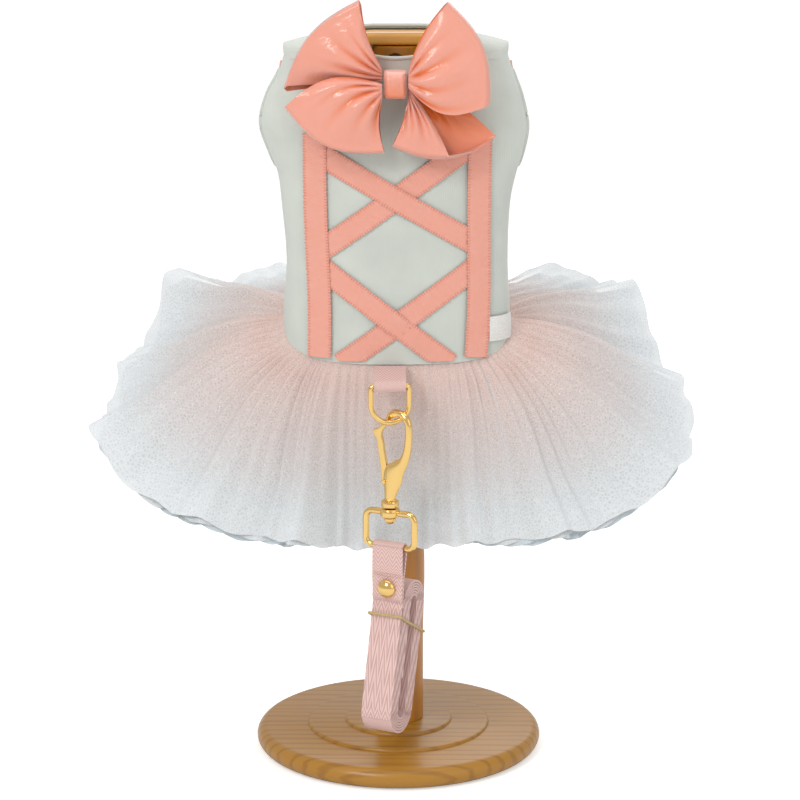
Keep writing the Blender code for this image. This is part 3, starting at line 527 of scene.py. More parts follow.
@dataclass(frozen=True)
class Satin(Finish):
    """Satin weave: smooth with a long soft highlight, and painted warm orange shade in its pleats and
    hollows.
    """
    # painted shade: the warm orange that pleats, puckers and the bow's hollows are tinted towards
    deep: str = "#E8712F"
    selvedge: float = 0.0
    width: float = 0.0
    sheen: float = 0.3
    crumple: float = 0.12

    def dress(self, tree: bpy.types.NodeTree, shader: bpy.types.Node) -> None:
        """Painted warm shade in the pleats and hollows, fine threads and, on a ribbon, a stitched edge.

        Args:
            tree: The material's nodes.
            shader: Its principled shader.
        """
        # the fold attribute holds painted shade: 0 keeps the satin's colour and 1 paints the warm orange
        # shade
        fold = add(tree, "Attribute", {"attribute_name": "fold"})
        tone = add(tree, "Mix", {"data_type": "RGBA", 6: linear(self.colour), 7: linear(self.deep)},
                   {0: fold.outputs["Fac"]})
        flat = add(tree, "UVMap", {"uv_map": "flat"})
        thread = add(tree, "TexNoise", {"Scale": 1.0, "Detail": 3.0},
                     {"Vector": add(tree, "Mapping", {"Scale": (2600.0, 90.0, 1.0)},
                                    {"Vector": flat.outputs["UV"]}).outputs["Vector"]})
        height, colour = thread.outputs["Fac"], tone.outputs[2]
        if self.selvedge:
            across = add(tree, "SeparateXYZ", {}, {"Vector": flat.outputs["UV"]})
            middle = add(tree, "Math", {"operation": "SUBTRACT", 1: self.width / 2}, {0: across.outputs["X"]})
            away = add(tree, "Math", {"operation": "ABSOLUTE"}, {0: middle.outputs[0]})
            edge = add(tree, "MapRange", {"From Min": self.width / 2 - self.selvedge * 1.6,
                                          "From Max": self.width / 2 - self.selvedge},
                       {"Value": away.outputs[0]})
            dots = add(tree, "TexWave", {"bands_direction": "Y", "Scale": bands(0.0018)},
                       {"Vector": flat.outputs["UV"]})
            stitched = add(tree, "Math", {"operation": "MULTIPLY"},
                           {0: edge.outputs["Result"], 1: dots.outputs["Fac"]})
            shaded = add(tree, "Math", {"operation": "MULTIPLY", 1: 0.55}, {0: stitched.outputs[0]})
            toned = add(tree, "Mix", {"data_type": "RGBA", 7: linear("#C9705A")},
                        {0: shaded.outputs[0], 6: colour})
            colour = toned.outputs[2]
            height = add(tree, "Math", {"operation": "MULTIPLY_ADD", 1: 1.5},
                         {0: stitched.outputs[0], 2: height}).outputs[0]
        tree.links.new(colour, shader.inputs["Base Color"])
        crumple = add(tree, "TexNoise", {"Scale": 170.0, "Detail": 2.0}, {"Vector": flat.outputs["UV"]})
        soft = add(tree, "Bump", {"Strength": self.crumple, "Distance": 0.0012},
                   {"Height": crumple.outputs["Fac"]})
        relief = add(tree, "Bump", {"Strength": 0.10, "Distance": 0.0002},
                     {"Height": height, "Normal": soft.outputs["Normal"]})
        tree.links.new(relief.outputs["Normal"], shader.inputs["Normal"])
        shader.inputs["Sheen Weight"].default_value = self.sheen
        shader.inputs["Sheen Roughness"].default_value = 0.35
        shader.inputs["Anisotropic"].default_value = 0.5


@dataclass(frozen=True)
class Tulle(Finish):
    """Sheer nylon net: blush near the waist, paler at its hem, with scattered glitter."""
    hem: str = "#DCD9D8"
    cover: float = 0.5
    length: float = 0.124
    glitter: float = 0.0016

    def dress(self, tree: bpy.types.NodeTree, shader: bpy.types.Node) -> None:
        """Fading colour, a see-through net and specks of glitter.

        Args:
            tree: The material's nodes.
            shader: Its principled shader.
        """
        flat = add(tree, "UVMap", {"uv_map": "flat"})
        down = add(tree, "SeparateXYZ", {}, {"Vector": flat.outputs["UV"]})
        reach = add(tree, "MapRange", {"From Min": self.length * 0.15, "From Max": self.length * 0.85},
                    {"Value": down.outputs["Y"]})
        tone = add(tree, "Mix", {"data_type": "RGBA", 6: linear(self.colour), 7: linear(self.hem)},
                   {0: reach.outputs["Result"]})
        specks = add(tree, "TexVoronoi", {"Scale": 1 / self.glitter}, {"Vector": flat.outputs["UV"]})
        near = add(tree, "Math", {"operation": "LESS_THAN", 1: 0.16}, {0: specks.outputs["Distance"]})
        chance = add(tree, "SeparateColor", {}, {"Color": specks.outputs["Color"]})
        lucky = add(tree, "Math", {"operation": "GREATER_THAN", 1: 0.86}, {0: chance.outputs["Red"]})
        shining = add(tree, "Math", {"operation": "MULTIPLY"}, {0: near.outputs[0], 1: lucky.outputs[0]})
        glowing = add(tree, "Mix", {"data_type": "RGBA", 7: linear("#FFFDF6")},
                      {0: shining.outputs[0], 6: tone.outputs[2]})
        tree.links.new(glowing.outputs[2], shader.inputs["Base Color"])
        net = add(tree, "TexVoronoi", {"feature": "DISTANCE_TO_EDGE", "Scale": 1 / 0.0017},
                  {"Vector": flat.outputs["UV"]})
        mesh = add(tree, "MapRange", {"From Min": 0.0, "From Max": 0.25, "To Min": min(1.0, self.cover + 0.2),
                                      "To Max": self.cover}, {"Value": net.outputs["Distance"]})
        # the net gathers and doubles towards its cut edge, where it shows against white
        firm = add(tree, "MapRange",
                   {"From Min": self.length * 0.45, "From Max": self.length * 0.95, "To Max": 0.36},
                   {"Value": down.outputs["Y"]})
        filled = add(tree, "Math", {"operation": "ADD"},
                     {0: mesh.outputs["Result"], 1: firm.outputs["Result"]})
        shown = add(tree, "Math", {"operation": "MAXIMUM", "use_clamp": True},
                    {0: filled.outputs[0], 1: shining.outputs[0]})
        tree.links.new(shown.outputs[0], shader.inputs["Alpha"])
        gloss = add(tree, "Mix", {"data_type": "FLOAT", 2: self.roughness, 3: 0.15}, {0: shining.outputs[0]})
        tree.links.new(gloss.outputs[0], shader.inputs["Roughness"])
        shader.inputs["Sheen Weight"].default_value = 0.4
        shader.inputs["Sheen Roughness"].default_value = 0.4


@dataclass(frozen=True)
class Webbing(Finish):
    """Flat woven nylon webbing: a fine herringbone with firm edges and a dull sheen."""
    shade: str = "#CDA39B"
    rib: float = 0.0013
    width: float = 0.020

    def dress(self, tree: bpy.types.NodeTree, shader: bpy.types.Node) -> None:
        """Herringbone ribs in relief and colour.

        Args:
            tree: The material's nodes.
            shader: Its principled shader.
        """
        flat = add(tree, "UVMap", {"uv_map": "flat"})
        turns = []
        for angle in (0.8, -0.8):
            turn = add(tree, "Mapping", {"Rotation": (0.0, 0.0, angle)}, {"Vector": flat.outputs["UV"]})
            turns.append(add(tree, "TexWave", {"bands_direction": "Y", "Scale": bands(self.rib)},
                             {"Vector": turn.outputs["Vector"]}))
        across = add(tree, "SeparateXYZ", {}, {"Vector": flat.outputs["UV"]})
        side = add(tree, "Math", {"operation": "PINGPONG", 1: self.width / 8}, {0: across.outputs["X"]})
        which = add(tree, "Math", {"operation": "GREATER_THAN", 1: self.width / 16}, {0: side.outputs[0]})
        ribs = add(tree, "Mix", {"data_type": "FLOAT"},
                   {0: which.outputs[0], 2: turns[0].outputs["Fac"], 3: turns[1].outputs["Fac"]})
        tone = add(tree, "ValToRGB", {"stops": [(0.05, self.shade), (0.7, self.colour)]},
                   {"Fac": ribs.outputs[0]})
        tree.links.new(tone.outputs["Color"], shader.inputs["Base Color"])
        relief = add(tree, "Bump", {"Strength": 0.22, "Distance": 0.0003}, {"Height": ribs.outputs[0]})
        tree.links.new(relief.outputs["Normal"], shader.inputs["Normal"])
        shader.inputs["Sheen Weight"].default_value = 0.2


@dataclass(frozen=True)
class GoldPlate(Finish):
    """Polished gold-plated zinc: bright yellow, with faint tumbling marks."""

    def dress(self, tree: bpy.types.NodeTree, shader: bpy.types.Node) -> None:
        """A clean metal with slightly uneven polish.

        Args:
            tree: The material's nodes.
            shader: Its principled shader.
        """
        place = add(tree, "TexCoord")
        marks = add(tree, "TexNoise", {"Scale": 300.0, "Detail": 3.0}, {"Vector": place.outputs["Object"]})
        polish = add(tree, "MapRange", {"To Min": self.roughness * 0.75, "To Max": self.roughness * 1.35},
                     {"Value": marks.outputs["Fac"]})
        tree.links.new(polish.outputs["Result"], shader.inputs["Roughness"])
        relief = add(tree, "Bump", {"Strength": 0.05, "Distance": 0.0001}, {"Height": marks.outputs["Fac"]})
        tree.links.new(relief.outputs["Normal"], shader.inputs["Normal"])
        shader.inputs["Metallic"].default_value = 1.0


@dataclass(frozen=True)
class Plain(Finish):
    """A moulded or twisted piece: sewing thread, natural rubber or a woven tag, with a fine tooth."""
    tooth: float = 0.0006
    relief: float = 0.25

    def dress(self, tree: bpy.types.NodeTree, shader: bpy.types.Node) -> None:
        """Fine tooth and a slight change of tone.

        Args:
            tree: The material's nodes.
            shader: Its principled shader.
        """
        place = add(tree, "TexCoord")
        tooth = add(tree, "TexNoise", {"Scale": 1 / self.tooth, "Detail": 2.0},
                    {"Vector": place.outputs["Object"]})
        dark = "#" + "".join(f"{int(int(self.colour[i:i + 2], 16) * 0.86):02X}" for i in (1, 3, 5))
        tone = add(tree, "ValToRGB", {"stops": [(0.25, dark), (0.6, self.colour)]},
                   {"Fac": tooth.outputs["Fac"]})
        tree.links.new(tone.outputs["Color"], shader.inputs["Base Color"])
        bump = add(tree, "Bump", {"Strength": self.relief, "Distance": 0.0002},
                   {"Height": tooth.outputs["Fac"]})
        tree.links.new(bump.outputs["Normal"], shader.inputs["Normal"])


POST_PINE = Pine("lacquered_pine_upright", "#BD7812", 0.42)
BASE_PINE = Pine("lacquered_pine_level", "#B37D1E", 0.40, late_wood="#9E6A14", grain=Grain.LEVEL)
BODICE_KNIT = Knit("cotton_knit_grey_green", "#D3D8CF", 0.88)
BINDING_KNIT = Knit("cotton_binding_grey_green", "#CBD0C8", 0.85)
BOW_SATIN = Satin("bow_satin_peach", "#EFA693", 0.20, sheen=0.5, crumple=0.35)
RIBBON_SATIN = Satin("ribbon_satin_coral", "#ECAC9C", 0.26, selvedge=0.0012, width=0.0138, crumple=0.75)
BLUSH_TULLE = Tulle("glitter_tulle_blush", "#F6D9CF", 0.55, hem="#DEE2E4", cover=0.48)
PALE_TULLE = Tulle("tulle_blue_white", "#E4E4E6", 0.6, hem="#D3DEE3", cover=0.54)
PINK_WEBBING = Webbing("nylon_webbing_pink", "#EBC9C3", 0.72)
GOLD = GoldPlate("polished_gold_plate", "#F3CD83", 0.14)
THREAD = Plain("polyester_thread_pink", "#DDB2AA", 0.6)
RUBBER = Plain("natural_rubber_tan", "#CBB07C", 0.5, tooth=0.0012, relief=0.1)
TAG = Plain("woven_tag_white", "#EFEDE8", 0.65, tooth=0.0005)


def settle(obj: bpy.types.Object, name: str, body: str, finish: Finish,
           stands_for: Sequence[str] = (), angle: float = 40.0) -> bpy.types.Object:
    """Name, shade and dress a finished piece, and join it to its body.

    Args:
        obj: The piece.
        name: Its name.
        body: The body that it rides on.
        finish: Its surface.
        stands_for: The CAD nodes that it replaces.
        angle: Edges sharper than this many degrees stay sharp.

    Returns:
        The piece.
    """
    obj.name = obj.data.name = name
    activate(obj)
    bpy.ops.object.transform_apply(location=True, rotation=True, scale=True)
    bpy.ops.object.shade_smooth_by_angle(angle=math.radians(angle))
    obj.data.materials.clear()
    obj.data.materials.append(finish.material())
    if stands_for:
        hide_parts(*stands_for)
    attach(obj, body)
    LOG.info("%s rides on %s with %s", name, body, finish.name)
    return obj


@dataclass
class Stand:
    """The turned pine stand: a stepped disc, a post with a blind hole, and an arched hanger."""
    rim: float = 0.090
    base_height: float = 0.017
    step: float = 0.0575
    seat: float = 0.034
    rise: float = 0.002
    post: float = 0.01575
    swell: float = 0.0008
    top: float = 0.4541
    bar_half: float = 0.058
    bar_depth: float = 0.020
    bar_thickness: float = 0.0077
    sag: float = 0.0096
    sag_reach: float = 0.070

    def drop(self, x: float) -> float:
        """How far the hanger's top has curved down at x."""
        return self.sag * (max(0.0, abs(x) - self.post) / (self.sag_reach - self.post)) ** 1.4

    def build(self) -> None:
        """Model and dress the three wooden pieces."""
        rim_top = self.base_height - 2 * self.rise
        edge = rim_top / 2
        profile = [(self.rim - edge + edge * math.sin(math.radians(a)),
                    edge - edge * math.cos(math.radians(a)))
                   for a in range(0, 181, 12)]
        for radius, low in ((self.step, rim_top), (self.seat, rim_top + self.rise)):
            profile += [(radius + 0.0006, low), (radius, low + 0.0002),
                        (radius - 0.0002, low + self.rise * 0.6),
                        (radius - 0.0008, low + self.rise * 0.9), (radius - 0.0016, low + self.rise)]
        base = turned(profile, 160)
        settle(base, "turned_base", "dress_on_stand", BASE_PINE, ["stand_base"], 50)

        foot, head = self.base_height + 0.0003, self.top - self.bar_thickness - 0.0003
        table = [(0.0, self.post), (0.14, self.post), (0.22, self.post + self.swell), (0.34, self.post),
                 (1.0, self.post)]
        heights = [0.0, 0.004] + [i / 60 for i in range(1, 30)] + [0.5, 0.75, 1.0]
        post = turned([(spline(table, share)[0], lerp(foot, head, share)) for share in sorted(heights)], 72)
        hole = Vector((-0.0018, 0.0, self.top - 0.0168))
        carve(post, rod(0.0055, hole - Vector((0, 0.03, 0)), hole - Vector((0, self.post - 0.009, 0)), 40))
        settle(post, "turned_post", "dress_on_stand", POST_PINE, ["stand_post"], 35)

        deselect()
        bpy.ops.mesh.primitive_cube_add(size=1.0, location=(0, 0, self.top - self.bar_thickness / 2),
                                        scale=(self.bar_half * 2, self.bar_depth, self.bar_thickness))
        bar = bpy.context.object
        bpy.ops.object.mode_set(mode="EDIT")
        for i in range(1, 40):
            bpy.ops.mesh.select_all(action="SELECT")
            bpy.ops.mesh.bisect(plane_co=(self.bar_half * (i / 20 - 1), 0, 0), plane_no=(1, 0, 0))
        bpy.ops.object.mode_set(mode="OBJECT")
        activate(bar)
        bpy.ops.object.transform_apply(location=True, rotation=True, scale=True)
        for vertex in bar.data.vertices:
            vertex.co.z -= self.drop(vertex.co.x)
        modify(bar, "BEVEL", width=0.0024, segments=4, limit_method="ANGLE", angle_limit=math.radians(60))
        settle(bar, "arched_hanger", "dress_on_stand",
               Pine("lacquered_pine_hanger", "#D9A24C", 0.38, grain=Grain.LEVEL),
               ["stand_crossbar"], 35)


@dataclass
class Bodice:
    """The knit body tube, closed over the shoulders and cut for the neck and front legs."""
    top: float = 0.4569
    height: float = 0.2029
    half_width: float = 0.070
    half_depth: float = 0.031
    square: float = 2.6
    wall: float = 0.0016
    hem_rise: float = 0.020
    neck_half: float = 0.034
    neck_drop: float = 0.0155
    neck_back: float = 0.0125
    leg_rise: float = 0.147
    leg_height: float = 0.058
    leg_depth: float = 0.024
    leg_y: float = 0.004
    # share of the height, half width, half depth and sideways shift
    sections: tuple = ((0.000, 1.000, 0.97, -0.008), (0.120, 1.000, 1.00, -0.012),
                       (0.300, 0.978, 1.02, -0.008),
                       (0.475, 1.005, 1.03, -0.018), (0.563, 1.045, 1.02, -0.010),
                       (0.625, 1.105, 1.00, -0.016),
                       (0.700, 1.172, 0.98, -0.034), (0.745, 1.165, 0.97, -0.040),
                       (0.805, 1.108, 0.96, -0.036),
                       (0.865, 1.020, 0.95, -0.022), (0.926, 0.965, 0.93, -0.022))
    # step over the crown, drop below the top, half width and half depth
    crown: tuple = ((0, 0.0150, 0.965, 0.93), (1, 0.0060, 0.975, 0.80), (2, 0.0022, 0.975, 0.60),
                    (3, 0.0005, 0.972, 0.34), (4, 0.0, 0.970, 0.0))

    @property
    def bottom(self) -> float:
        """The front hem's height."""
        return self.top - self.height

    def girth(self, z: float) -> tuple[float, float, float]:
        """The half width, half depth and sideways shift at a height."""
        wide, deep, shift = spline(self.sections, clamp((z - self.bottom) / self.height, 0.0, 0.926))
        return wide * self.half_width, deep * self.half_depth, shift * self.half_width

    def squared(self, value: float) -> float:
        """A sine or cosine pushed outwards, which squares a circle's corners."""
        return math.copysign(abs(value) ** (2 / self.square), value)

    def around(self, turn: float, size: tuple[float, float, float]) -> Vector:
        """A point of a ring; turn 0 is the front and a quarter is the left side."""
        return Vector((size[2] - size[0] * self.squared(math.sin(turn)),
                       -size[1] * self.squared(math.cos(turn)), 0.0))

    def hem(self, y: float, half_depth: float) -> float:
        """The hem's height: it rises from the front to the sides and stays level round the back."""
        return self.bottom + self.hem_rise * clamp((y + half_depth) / half_depth) ** 1.3

    def front(self, x: float, z: float, lift: float) -> Vector:
        """The point of the front at (x, z), lifted off the cloth.

        Args:
            x: The place to the right.
            z: The height.
            lift: How far the point stands off the cloth.

        Returns:
            The point.
        """
        half_width, half_depth, shift = self.girth(z)
        share = min(0.98, abs(x - shift) / half_width) ** self.square
        y = -half_depth * (1 - share) ** (1 / self.square)
        slope_x = (x - shift) / half_width**2 * abs((x - shift) / half_width) ** (self.square - 2)
        slope_y = y / half_depth**2 * abs(y / half_depth) ** (self.square - 2)
        return Vector((x, y, z)) + Vector((slope_x, slope_y, 0.0)).normalized() * lift

    def rows(self) -> Rows:
        """The outer face, ring by ring from the hem to the shoulder line.

        Returns:
            The rings of points.
        """
        turns = [2 * math.pi * i / 192 for i in range(192)]
        rows = []
        for i in range(79):
            share = 0.926 * (i / 78) ** 0.92
            z = self.bottom + share * self.height
            size = self.girth(z)
            ring = []
            for turn in turns:
                point = self.around(turn, size)
                rise = self.hem(point.y, size[1]) - self.bottom
                point.z = z + rise * max(0.0, 1 - share / 0.3) ** 1.5
                outward = Vector((point.x - size[2], point.y * 3, 0)).normalized()
                wrinkle = noise.noise(Vector((point.x * 34, point.y * 34, point.z * 15))) * 0.0006
                gather = math.sin(turn * 88) * 0.0003 * max(0.0, 1 - share / 0.12)
                ring.append(point + outward * (wrinkle - 0.0004 + gather))
            rows.append(ring)
        for i in range(1, 33):
            drop, wide, deep = spline(self.crown, i / 8)
            size = (wide * self.half_width, deep * self.half_depth, -0.022 * self.half_width)
            share = max(0.0, 1 - drop / 0.015) ** 0.5
            ring = []
            for turn in turns:
                point = self.around(turn, size)
                sag = STAND.drop(point.x)
                point.z = self.top - drop - sag * share
                ring.append(point)
            rows.append(ring)
        return rows

    def cut_out(self, shell: bpy.types.Object, inside: Callable[[Vector], bool],
                rim: Callable[[Vector], Vector]) -> None:
        """Cut an opening in the cloth and smooth its edge.

        Args:
            shell: The sheet.
            inside: If a point is cut away.
            rim: Where on the outline a point of the edge goes.
        """
        bm = bmesh.new()
        bm.from_mesh(shell.data)
        doomed = {face for face in bm.faces if inside(face.calc_center_median())}
        edge = {v for face in doomed for v in face.verts
                if any(other not in doomed for other in v.link_faces)}
        bmesh.ops.delete(bm, geom=list(doomed), context="FACES")
        for vertex in edge:
            if vertex.is_valid:
                vertex.co = rim(vertex.co)
        bm.to_mesh(shell.data)
        bm.free()

    def build(self) -> None:
        """Model the tube, cut its openings and bind their edges."""
        shell = cloth(self.rows(), (0.42, self.height), wrapped=True)
        activate(shell)
        bpy.ops.object.mode_set(mode="EDIT")
        bpy.ops.mesh.select_all(action="SELECT")
        bpy.ops.mesh.remove_doubles(threshold=0.00003)
        bpy.ops.mesh.normals_make_consistent(inside=False)
        bpy.ops.object.mode_set(mode="OBJECT")
        tree = BVHTree.FromObject(shell, bpy.context.evaluated_depsgraph_get())
        centre = Vector((-0.00154, 0.0, self.top))
        side_x = self.neck_half * 0.992

        def neck_rim(point: Vector) -> Vector:
            """The nearest place on the neck's outline.

            Args:
                point: A point of the cut edge.

            Returns:
                Its place on the outline.
            """
            away = point - centre
            if point.y > -0.014 and abs(away.x) > self.neck_half * 0.9:
                place = Vector((centre.x + math.copysign(side_x, away.x), min(point.y, self.neck_back),
                                self.top + 0.02))
                return tree.ray_cast(place, Vector((0, 0, -1)))[0] or point
            if point.y > 0:
                return tree.ray_cast(Vector((point.x, self.neck_back, self.top + 0.02)),
                                     Vector((0, 0, -1)))[0] or point
            out = math.hypot(away.x / self.neck_half, away.z / self.neck_drop)
            place = Vector((centre.x + away.x / out, -0.08, self.top + away.z / out))
            return tree.ray_cast(place, Vector((0, 1, 0)))[0] or point

        def in_neck(point: Vector) -> bool:
            """If a point lies in the neck's opening.

            Args:
                point: The point.

            Returns:
                True if it is cut away.
            """
            away = point - centre
            near = (away.x / self.neck_half) ** 2 + (away.z / self.neck_drop) ** 2 < 1
            return point.y < self.neck_back and near

        self.cut_out(shell, in_neck, neck_rim)
        legs = {}
        for side, word in ((-1, "left"), (1, "right")):
            middle = Vector((side * 0.115, self.leg_y, self.bottom + self.leg_rise))

            def in_leg(point: Vector, side: int = side, middle: Vector = middle) -> bool:
                """If a point lies in this side's leg opening.

                Args:
                    point: The point.
                    side: -1 for the left opening or 1 for the right one.
                    middle: The opening's middle.

                Returns:
                    True if it is cut away.
                """
                away = point - middle
                return side * point.x > 0.045 and math.hypot(away.y / self.leg_depth,
                                                             away.z / self.leg_height) < 0.5

            def leg_rim(point: Vector, side: int = side, middle: Vector = middle) -> Vector:
                """The nearest place on this leg opening's outline.

                Args:
                    point: A point of the cut edge.
                    side: -1 for the left opening or 1 for the right one.
                    middle: The opening's middle.

                Returns:
                    Its place on the outline.
                """
                away = point - middle
                out = 2 * math.hypot(away.y / self.leg_depth, away.z / self.leg_height)
                place = middle + Vector((0, away.y / out, away.z / out))
                return tree.ray_cast(place, Vector((-side, 0, 0)))[0] or point

            self.cut_out(shell, in_leg, leg_rim)
            outline = oval(middle, Vector((0, 1, 0)), UP, 72, self.leg_depth / 2, self.leg_height / 2)
            legs[word] = [tree.ray_cast(point, Vector((-side, 0, 0)))[0] for point in outline]
        modify(shell, "SOLIDIFY", thickness=self.wall, offset=-1.0)
        settle(shell, "knit_bodice", "dress_on_stand", BODICE_KNIT, ["bodice"], 50)

        neck = [tree.ray_cast(Vector((centre.x + self.neck_half * math.cos(a), -0.07,
                                      self.top + self.neck_drop * math.sin(a))),
                              Vector((0, 1, 0)))[0] for a in (math.radians(d) for d in range(-172, -7, 3))]
        neck = [point for point in neck if point is not None]
        first = neck[-1].y
        edge = [(centre.x + side_x, lerp(first, self.neck_back, k / 8)) for k in range(1, 9)]
        edge += [(lerp(centre.x + side_x, centre.x - side_x, k / 20), self.neck_back) for k in range(1, 20)]
        edge += [(centre.x - side_x, lerp(self.neck_back, neck[0].y, k / 8)) for k in range(0, 8)]
        hits = [tree.ray_cast(Vector((x, y, self.top + 0.02)), Vector((0, 0, -1)))[0] for x, y in edge]
        outlines = {"neck": neck + hits, "left_leg": legs["left"], "right_leg": legs["right"]}
        for word, outline in outlines.items():
            line = [point for point in outline if point is not None]
            binding = wire(line, 0.0012, closed=True, sides=10)
            settle(binding, f"{word}_binding", "dress_on_stand", BINDING_KNIT)


@dataclass
class Ribbons:
    """Two upright satin bands and two crosses of ribbon on the bodice's front."""
    bodice: Bodice
    width: float = 0.0138
    foot_lift: float = 0.004
    length: float = 0.138
    offset: float = 0.0475
    lean: float = 0.0022
    shift: float = -0.0005
    sway: float = 0.0012
    # name, left end (x, height), right end (x, height) as shares of the bodice, lies on top
    crosses: tuple = (("cross_upper_back", (-0.66, 0.351), (0.69, 0.682), False),
                      ("cross_upper_front", (-0.66, 0.635), (0.69, 0.363), True),
                      ("cross_lower_back", (-0.50, 0.000), (0.69, 0.302), False),
                      ("cross_lower_front", (-0.65, 0.292), (0.450, 0.000), True))

    def band_x(self, side: int, z: float) -> float:
        """The middle of an upright band at a height.

        Args:
            side: -1 for the left band or 1 for the right one.
            z: The height.

        Returns:
            The place of the band's middle line.
        """
        rise = (z - self.bodice.bottom - self.foot_lift) / self.length
        sway = self.sway * math.sin(rise * 5.5) * (1 - rise)
        return side * (self.offset + self.lean * rise) + self.shift + sway

    def strip(self, route: Callable[[float], tuple[float, float]], lift: Callable[[float], float], steps: int,
              length: float) -> bpy.types.Object:
        """Lay a ribbon along a route on the bodice's front.

        Args:
            route: (x, z) of its middle at a share of its length.
            lift: How far its middle is off the cloth there.
            steps: Rows along it.
            length: Its flat length.

        Returns:
            The ribbon, with its wall.
        """
        foot = self.bodice.bottom + self.foot_lift * 0.5
        rows, painted_shade = [], []
        for i in range(steps + 1):
            t = i / steps
            x, z = route(t)
            ahead, behind = Vector(route(min(1.0, t + 0.01))), Vector(route(max(0.0, t - 0.01)))
            heading = (ahead - behind).normalized()
            row, deep = [], []
            for j in range(13):
                w = j / 12 - 0.5
                picot = 1.0 + (0.035 * math.sin(i * 2.1) if j in (0, 12) else 0.0)
                px = x + heading.y * self.width * w * picot
                pz = max(foot, z - heading.x * self.width * w * picot)
                pucker = 0.00022 * math.sin(i * 1.25 + math.copysign(1.2, w)) * (2 * w) ** 2
                pucker += 0.0003 * noise.noise(Vector((px * 90, pz * 90, 3.0)))
                row.append(self.bodice.front(px, pz, lift(t) + pucker))
                # painted shade: a faint warm tint all over, deeper where a pucker sinks and lighter where it
                # stands out
                deep.append(clamp(0.16 - pucker * 900 * abs(w)))
            rows.append(row)
            painted_shade.append(deep)
        return modify(cloth(rows, (self.width, length), painted_shade=painted_shade), "SOLIDIFY", thickness=0.0004,
                      offset=0.0)

    def build(self) -> None:
        """Model and dress the bands and crosses."""
        bottom, height, half = self.bodice.bottom, self.bodice.height, self.bodice.half_width
        for name, left, right, on_top in self.crosses:
            ends = [(end[0] * half, bottom + end[1] * height) for end in (left, right)]
            run = math.hypot(ends[1][0] - ends[0][0], ends[1][1] - ends[0][1])
            lift = (lambda t: 0.0007 + 0.0010
                    * clamp(1.9 - abs(t - 0.5) * 13)) if on_top else (lambda t: 0.0007)
            ribbon = self.strip(lambda t, e=ends: (lerp(e[0][0], e[1][0], t), lerp(e[0][1], e[1][1], t)),
                                lift, 110, run)
            settle(ribbon, f"satin_{name}", "dress_on_stand", RIBBON_SATIN, [name], 60)
        foot = bottom + self.foot_lift
        for side, word in ((-1, "left"), (1, "right")):
            ribbon = self.strip(lambda t,
                                s=side: (self.band_x(s, foot + self.length * t), foot + self.length * t),
                                lambda t: 0.0014, 130, self.length)
            settle(ribbon, f"satin_band_{word}", "dress_on_stand", RIBBON_SATIN,
                   [f"band_{word}"], 60)


@dataclass
class SidePieces:
    """The gathered straps behind the shoulders and the bare woven tag."""
    bodice: Bodice
    ribbons: Ribbons
    tag_width: float = 0.0128
    tag_height: float = 0.0155
    tag_rise: float = 0.0130

    def build(self) -> None:
        """Model and dress the straps and the tag."""
        body = self.bodice
        for side, word in ((-1, "left"), (1, "right")):
            rows, painted_shade = [], []
            for i in range(49):
                t = i / 48
                z = body.bottom + body.leg_rise + body.leg_height / 2 + 0.004 - 0.062 * t
                half_width, half_depth, shift = body.girth(z)
                y = body.leg_y + body.leg_depth / 2 + 0.001
                inner = half_width * (1 - (y / half_depth) ** body.square) ** (1 / body.square)
                width = 0.0074 * lerp(1.0, 0.5, clamp(t * 2.2))
                row = []
                for j in range(9):
                    w = j / 8
                    ripple = 0.0006 * math.sin(i * 1.1 + j * 0.7) * w
                    row.append(Vector((shift + side * (inner + 0.0006 + width * w),
                                       y + width * w * 0.3 + ripple, z)))
                rows.append(row)
                # painted shade that rises and falls along the strap with its ripples
                painted_shade.append([0.05 + 0.1 * math.sin(i * 1.1) for _ in row])
            strap = modify(cloth(rows, (0.007, 0.062), painted_shade=painted_shade), "SOLIDIFY", thickness=0.0005, offset=0.0)
            settle(strap, f"gathered_strap_{word}", "dress_on_stand",
                   Satin("strap_satin_rose", "#EFB9AE", 0.45),
                   [f"arm_strap_{word}"], 60)
        low = body.bottom + self.tag_rise
        left = self.ribbons.band_x(1, low) + self.ribbons.width / 2 + 0.0006
        rows = [[body.front(left + self.tag_width * j / 12, low + self.tag_height * i / 14,
                            0.0010 + 0.0004 * math.sin(math.pi * i / 14)) for j in range(13)]
                            for i in range(15)]
        tag = modify(cloth(rows, (self.tag_width, self.tag_height)), "SOLIDIFY", thickness=0.0005, offset=0.0)
        settle(tag, "bare_woven_tag", "dress_on_stand", TAG, ["side_label"], 60)


@dataclass(frozen=True)
class Ply:
    """One side of a bow loop; places are (x, z) shares of the bow's span."""
    upper_tip: tuple
    lower_tip: tuple
    fold_bulge: float
    upper_bulge: float
    lower_bulge: float
    root_y: float
    upper_y: float
    lower_y: float
    puff: float


@dataclass(frozen=True)
class Loop:
    """One bow loop: satin that leaves the knot, turns over and returns."""
    name: str
    root_top: tuple
    root_bottom: tuple
    front: Ply
    back: Ply
    flat: tuple[float, float]


